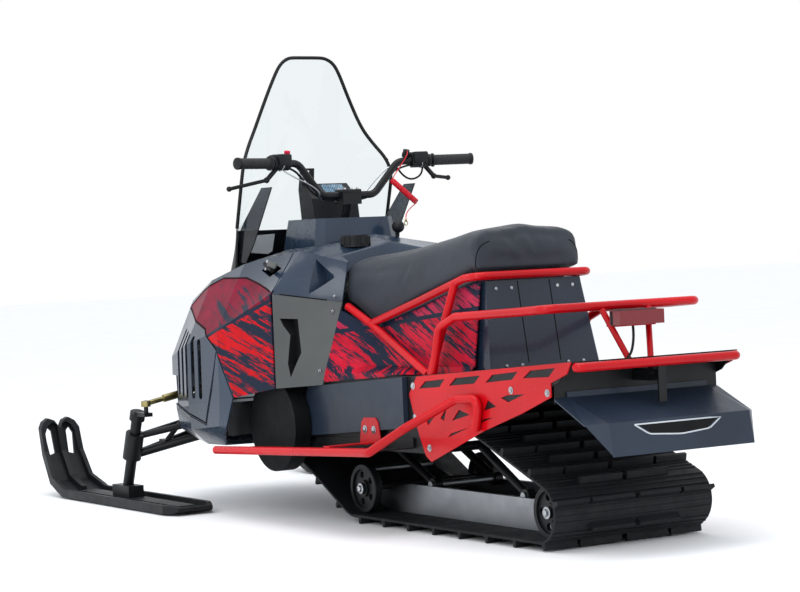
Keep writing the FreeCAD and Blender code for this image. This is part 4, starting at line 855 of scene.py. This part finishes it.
# bright cable on the left, and the black one that hangs below the right grip
CLUTCH_CABLE = [
    (1252.0, 236.0, 1012.0), (1240.0, 202.0, 990.0), (1234.0, 160.0, 970.0), (1240.0, 123.0, 948.0),
    (1252.0, 116.0, 930.0), (1276.0, 92.0, 922.0),
]
THROTTLE_CABLE = [
    (1275.0, 176.0, 1014.0), (1274.0, 184.0, 998.0), (1266.0, 212.0, 976.0), (1257.0, 240.0, 984.0),
    (1252.0, 252.0, 1004.0), (1250.0, 250.0, 1028.0),
]
BUTTON_AT = (1264.0, 214.0, 1062.0)
BUTTON_RISE = Vector((-0.002, 0, 0.010))


def add_switches(name, end, near, way):
    """Switch block, lever clamp, collar and end cap on one side, with two screws and a band."""
    black = FINISHES["dark_plastic"]
    turn = way.to_track_quat("X", "Z").to_euler()
    pieces = []
    for along, shift, size, edge in SWITCH_PARTS:
        middle = near + way * along + Vector(shift)
        pieces.append(slab("block", middle, size, turn, black, "handlebar", edge))
    for start, stop, radius in ((near - way * 0.012, near - way * 0.002, 0.019),
                                (end - way * 0.006, end + way * 0.002, 0.0178)):
        pieces.append(rod("collar", start, stop, radius, black, "handlebar", 32))
    joined("switch_block_" + name, pieces)
    screws = []
    for k in (-1, 1):
        foot = near + way * (SCREW_ALONG + SCREW_HALF * k) + SCREW_SHIFT
        head = foot + Vector((0, 0, 0.002))
        screws.append(rod("screw", foot, head, 0.003, BRIGHT, "handlebar", 12, 0.0004))
    across = way.cross(Vector((0, 0, 1))).normalized()
    ring = []
    for k in range(BAND_STEPS + 1):
        angle = 2 * math.pi * k / BAND_STEPS
        out = across * math.cos(angle) + way.cross(across) * math.sin(angle)
        ring.append(near + way * BAND_ALONG + out * BAND_REACH)
    screws.append(line("clamp_band", ring, 0.0016, BRIGHT, "handlebar", order=2))
    joined("switch_screws_" + name, screws)


def add_controls():
    """Switch blocks and lever clamps, the cables along the bar, and the stop button."""
    for side, name in ((1, "left"), (-1, "right")):
        end, bend = sided(BAR, side)
        way = (bend - end).normalized()
        near = end + way * GRIP_LONG
        add_switches(name, end, near, way)
        lead = [near + way * 0.05 + Vector((0.004, 0, -0.012)), bend + Vector((0.012, 0, -0.020))]
        lead += sided(SWITCH_CABLE, side)
        line("switch_cable_" + name, lead, 0.0032, TRIM_RUBBER, "handlebar")
        pull = [near + way * 0.02 + Vector((0.036, 0, 0.002)), near + way * 0.09 + Vector((0.044, 0, -0.006))]
        pull += sided(PULL_CABLE, side)
        line("pull_cable_" + name, pull, 0.0026, BRIGHT, "handlebar")
    line("clutch_cable", sided(CLUTCH_CABLE, 1), 0.0022, BRIGHT, "handlebar")
    line("throttle_cable", sided(THROTTLE_CABLE, -1), 0.003, TRIM_RUBBER, "handlebar")
    button = at(*BUTTON_AT)
    rod("stop_button", button, button + BUTTON_RISE, 0.009, RED_BUTTON, "handlebar", 24, 0.002)


# Body trims

# outlines of the body's joints, in x and z, drawn from the side
HOOD_REAR = [(1192.0, 838.0), (1132.0, 660.0), (1132.0, 388.0)]
CREASE = [(1008.0, 625.0), (1130.0, 655.0)]
QUARTER_TOP = [(1766.0, 617.0), (1656.0, 663.5), (1516.0, 700.5), (1356.0, 700.5), (1142.0, 657.5)]
QUARTER_FRONT = [(1332.0, 355.0), (1379.0, 421.0), (1411.0, 492.5), (1499.0, 551.5), (1782.0, 613.5)]
BELLY_TOP = [
    (1412.0, 484.0), (1447.0, 369.0), (1490.0, 263.0), (1606.0, 289.0), (1769.0, 321.0), (1900.0, 324.0),
]
# a strip lies on the panels of its own body: those that stay, and the quarter that opens with the hood
FIXED_FRONT = ["belly_pan", "side_panel_left", "console"]
OPENING_FRONT = ["front_quarter_left"]
# joint strips of painted shade: outline, radius, panels that carry it and body
JOINT_STRIPS = {
    "hood_rear_gap": (HOOD_REAR, 0.0018, FIXED_FRONT, "chassis"),
    "console_gap": (CREASE, 0.0018, FIXED_FRONT, "chassis"),
    "belly_gap": (BELLY_TOP, 0.0016, FIXED_FRONT, "chassis"),
    "quarter_top_gap": (QUARTER_TOP, 0.0022, OPENING_FRONT, "hood"),
    "quarter_front_gap": (QUARTER_FRONT, 0.0028, OPENING_FRONT, "hood"),
}


def add_joint_strips():
    """Painted shade in the gaps between the body panels: dark strips that follow the panels' surface."""
    for name, (outline, radius, carriers, body) in JOINT_STRIPS.items():
        side_strip(name, carriers, outline, radius, SEAM_SHADOW, body)


# hood latches, drawn on the left: strap, hook and tab, with the tab's size and its turn in degrees
LATCH_STRAP = [(1272.0, 300.0, 741.0), (1236.0, 309.0, 730.0), (1200.0, 316.0, 722.0)]
LATCH_HOOK = [(1262.0, 296.0, 752.0), (1262.0, 304.0, 722.0)]
LATCH_TAB = [(1196.0, 318.0, 738.0)]
TAB_SIZE = (0.062, 0.018, 0.007)
TAB_TURN = (-58, -9, -8)


def add_hood_latches():
    """Rubber strap and grey tab in each latch opening."""
    for side, name in ((1, "left"), (-1, "right")):
        strap = line("strap", sided(LATCH_STRAP, side), 0.007, TRIM_RUBBER, "hood")
        top, foot = sided(LATCH_HOOK, side)
        hook = rod("hook", top, foot, 0.004, BRIGHT, "hood")
        joined("hood_latch_" + name, [strap, hook])
        turn = (math.radians(side * TAB_TURN[0]), math.radians(TAB_TURN[1]), math.radians(side * TAB_TURN[2]))
        tab = sided(LATCH_TAB, side)[0]
        slab("latch_tab_" + name, tab, TAB_SIZE, turn, SATIN_PANEL, "hood", 0.003)


# rear of the seat box: its joints' distance from the middle, top, step and count, and its corner screws
BOX_JOINT_Y = 52.0
BOX_JOINT_TOP = 672.0
BOX_JOINT_STEP = 18.0
BOX_JOINT_COUNT = 13
BOX_SCREWS = [(75.0, 655.0), (125.0, 655.0), (75.0, 450.0), (125.0, 450.0)]


def on_box(y, z, lift=0.0):
    """Point of the seat box's rear face, raised by a lift."""
    return landed(["seat_box"], Vector((BOX_BEHIND, y * MM, z * MM)), Vector((1, 0, 0)), lift)


def add_seat_box_seams():
    """Upright joints of the box below the seat, drawn as strips of painted shade, and its corner screws."""
    for side, name in ((1, "left"), (-1, "right")):
        heights = [BOX_JOINT_TOP - BOX_JOINT_STEP * k for k in range(BOX_JOINT_COUNT)]
        places = [on_box(side * BOX_JOINT_Y, z, -0.0004) for z in heights]
        points = [place for place in places if place is not None]
        line("box_joint_" + name, points, 0.0016, SEAM_SHADOW, "chassis", order=2)
        heads = []
        for y, z in BOX_SCREWS:
            place = on_box(side * y, z)
            if place is not None:
                head = place + Vector((-0.003, 0, 0))
                heads.append(rod("rivet", place, head, 0.005, BRIGHT, "chassis", 16))
        joined("box_rivets_" + name, heads)


# bolts on the left flank: x and z, radius, nodes that carry them
SIDE_BOLTS = [
    (541.0, 400.0, 6.5, ["side_plate_left"]), (536.0, 300.0, 6.5, ["side_plate_left"]),
    (470.0, 236.0, 6.5, ["side_plate_left"]), (267.0, 374.0, 6.5, ["side_plate_left"]),
    (76.0, 403.0, 6.5, ["side_plate_left"]), (-82.0, 401.0, 6.5, ["side_plate_left"]),
    (730.0, 274.0, 7.5, ["board_rail_left"]), (776.0, 274.0, 7.5, ["board_rail_left"]),
    (620.0, 428.0, 4.5, ["lower_covers"]), (900.0, 428.0, 4.5, ["lower_covers"]),
    (1020.0, 640.0, 4.5, ["console"]), (1018.0, 598.0, 4.5, ["side_panel_left"]),
    (1020.0, 430.0, 4.5, ["side_panel_left"]),
]
# a washer's radius as a share of its bolt's
WASHER_SHARE = 1.5
WASHER_THICK = 0.0015
HEAD_HIGH = 0.005


def add_side_bolts():
    """Six-sided bolt heads with washers on both flanks."""
    heads = []
    for x, z, radius, carriers in SIDE_BOLTS:
        place = landed(carriers, Vector((at(x, 0, 0).x, FLANK_OUT, z * MM)), Vector((0, -1, 0)))
        if place is None:
            continue
        for twin, side in ((place, 1), (mirror(place), -1)):
            out = Vector((0, side, 0))
            heads.append(rod("washer", twin, twin + out * WASHER_THICK, radius * WASHER_SHARE * MM, BRIGHT,
                             "chassis", 24, 0.0004))
            head = twin + out * HEAD_HIGH
            heads.append(rod("head", twin, head, radius * MM, BRIGHT, "chassis", 6))
    joined("side_bolts", heads)


def add_wheel_hubs():
    """Bolt heads and washers at the axle ends of the running gear."""
    heads = []
    for name in ("rear_idlers", "bogie_wheels", "carrier_wheels"):
        low, high = (Vector(corner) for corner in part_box(name))
        middle = (low + high) / 2
        for y, side in ((high.y, 1), (low.y, -1)):
            foot = Vector((middle.x, y, middle.z))
            out = Vector((0, side, 0))
            heads.append(rod("washer", foot - out * 0.004, foot + out * 0.001, 0.016, BRIGHT,
                             "chassis"))
            heads.append(rod("head", foot, foot + out * 0.007, 0.010, BRIGHT, "chassis", 6))
    joined("wheel_bolts", heads)


# tail lamp: middle and size of its shell, and the way of its lead
LAMP_SHELL_AT = (-101.0, 0.0, 576.0)
LAMP_SHELL_SIZE = (0.018, 0.142, 0.041)
LAMP_LEAD = [
    (-104.0, 6.0, 556.0), (-106.0, 6.0, 536.0), (-112.0, 14.0, 506.0), (-126.0, 34.0, 482.0),
    (-140.0, 60.0, 472.5),
]


def add_tail_lamp():
    """Black shell and lead of the tail lamp."""
    black = FINISHES["dark_plastic"]
    slab("lamp_shell", at(*LAMP_SHELL_AT), LAMP_SHELL_SIZE, (0, 0, 0), black, "chassis", 0.006)
    line("lamp_lead", sided(LAMP_LEAD, 1), 0.0034, TRIM_RUBBER, "chassis")


# outline of the bare panel on the flap's rear face, in y and z
FLAP_PANEL = [(144.0, 322.0), (-127.0, 322.0), (-86.0, 297.0), (5.0, 290.0), (103.0, 297.0)]
# how far out its corners are laid, and the share of the outline that its dark middle fills
FLAP_LIFT = 0.0004
FLAP_FILL = 0.9


def add_flap_panel():
    """Bare outlined panel pressed into the flap's rear face."""
    corners = []
    for y, z in FLAP_PANEL:
        place = landed(["mud_flap"], Vector((FLAP_BEHIND, y * MM, z * MM)), Vector((1, 0, 0)), FLAP_LIFT)
        if place is not None:
            corners.append(place)
    line("flap_outline", corners + corners[:1], 0.0020, PALE_LINE, "chassis", order=2)
    middle = sum(corners, Vector()) / len(corners)
    inner = [middle.lerp(corner, FLAP_FILL) for corner in corners]
    bpy.ops.mesh.primitive_circle_add(vertices=len(inner), fill_type="NGON")
    panel = bpy.context.object
    for vertex, place in zip(panel.data.vertices, inner):
        vertex.co = place
    thickened(panel, 0.0016, 0.0)
    placed("flap_panel", SHADE_AND_PANEL_BLACK, "chassis")


# slope in front of the seat: x of each row and how far below the console's edge it falls
APRON = [(1052.8, 0.5), (1051.0, 1.5), (1047.0, 8.0), (1042.0, 19.0), (1036.0, 34.0), (1031.0, 50.0)]
APRON_HALF = 169.0
APRON_STEPS = 12
# height of the console's edge in the middle, and its fall towards the flanks
CONSOLE_EDGE_Z = 793.4
CONSOLE_FALL = 0.203


def add_apron():
    """Slope of the console that closes the notch in front of the seat."""
    bpy.ops.mesh.primitive_grid_add(x_subdivisions=APRON_STEPS, y_subdivisions=len(APRON) - 1, size=1.0)
    sheet = bpy.context.object
    for k, vertex in enumerate(sheet.data.vertices):
        row, column = divmod(k, APRON_STEPS + 1)
        x, drop = APRON[row]
        y = APRON_HALF * (2.0 * column / APRON_STEPS - 1.0)
        vertex.co = at(x, y, CONSOLE_EDGE_Z - CONSOLE_FALL * abs(y) - drop)
    thickened(sheet, 0.003, -1.0)
    placed("console_apron", FINISHES["body_plastic"], "chassis")
    bpy.ops.object.shade_smooth_by_angle(angle=math.radians(40))


# Track

# wheels the belt runs round: x, z and radius in order, then the belt's own sizes
BELT_WHEELS = [(0.0, 94.0, 70.0), (910.0, 94.0, 70.0), (1230.0, 280.0, 83.0), (540.0, 315.0, 60.0)]
BELT_THICK = 6.0
BELT_ROWS = 48
RIBS_PER_ROW = 4
RIB = (0.0055, 0.496, 0.006)


def belt_places(offset, count):
    """Evenly spaced points round the belt, each with the angle that faces outwards."""
    wheels = BELT_WHEELS
    turns = []
    for (x1, z1, r1), (x2, z2, r2) in zip(wheels, wheels[1:] + wheels[:1]):
        turns.append(math.atan2(z2 - z1, x2 - x1) - math.acos((r1 - r2) / math.hypot(x2 - x1, z2 - z1)))
    runs = []
    for i, (x, z, r) in enumerate(wheels):
        into = turns[i - 1]
        out = turns[i]
        while out < into:
            out += 2 * math.pi
        reach = r + offset
        runs.append((reach * (out - into), x, z, reach, into, out, None))
        x2, z2, r2 = wheels[(i + 1) % len(wheels)]
        start = (x + reach * math.cos(out), z + reach * math.sin(out))
        end = (x2 + (r2 + offset) * math.cos(out), z2 + (r2 + offset) * math.sin(out))
        runs.append((math.dist(start, end), *start, 0.0, out, out, end))
    total = sum(run[0] for run in runs)
    places = []
    for k in range(count):
        left = k * total / count
        for length, x, z, reach, into, out, end in runs:
            if left <= length:
                break
            left -= length
        if end is None:
            angle = into + left / reach
            places.append((x + reach * math.cos(angle), z + reach * math.sin(angle), angle))
        else:
            share = left / length
            places.append((x + (end[0] - x) * share, z + (end[1] - z) * share, out))
    return places


def add_track_ribs():
    """Low ribs across the belt between its lugs."""
    first = slab("track_ribs", Vector((0, 0, 0)), RIB, (0, 0, 0), FINISHES["track_rubber"],
                 "chassis", 0.0015)
    source = first.data
    shape = source.copy()
    ribs = []
    for k, (x, z, angle) in enumerate(belt_places(BELT_THICK, BELT_ROWS * RIBS_PER_ROW)):
        turn = Matrix.Translation(at(x, 0, z)) @ Matrix.Rotation(math.pi / 2 - angle, 4, "Y")
        if k == 1:
            source.transform(turn)
        elif k % RIBS_PER_ROW:
            rib = bpy.data.objects.new("rib", shape.copy())
            bpy.context.scene.collection.objects.link(rib)
            rib.matrix_world = turn
            ribs.append(rib)
    joined("track_ribs", [first] + ribs)


dress_nodes()
add_camera()
add_studio()
add_tether()
seat_cover = add_seat()
add_seat_seams(seat_cover)
add_screen_edge()
add_instruments()
add_clamp()
add_controls()
add_joint_strips()
add_hood_latches()
add_seat_box_seams()
add_side_bolts()
add_wheel_hubs()
add_tail_lamp()
add_flap_panel()
add_apron()
add_track_ribs()
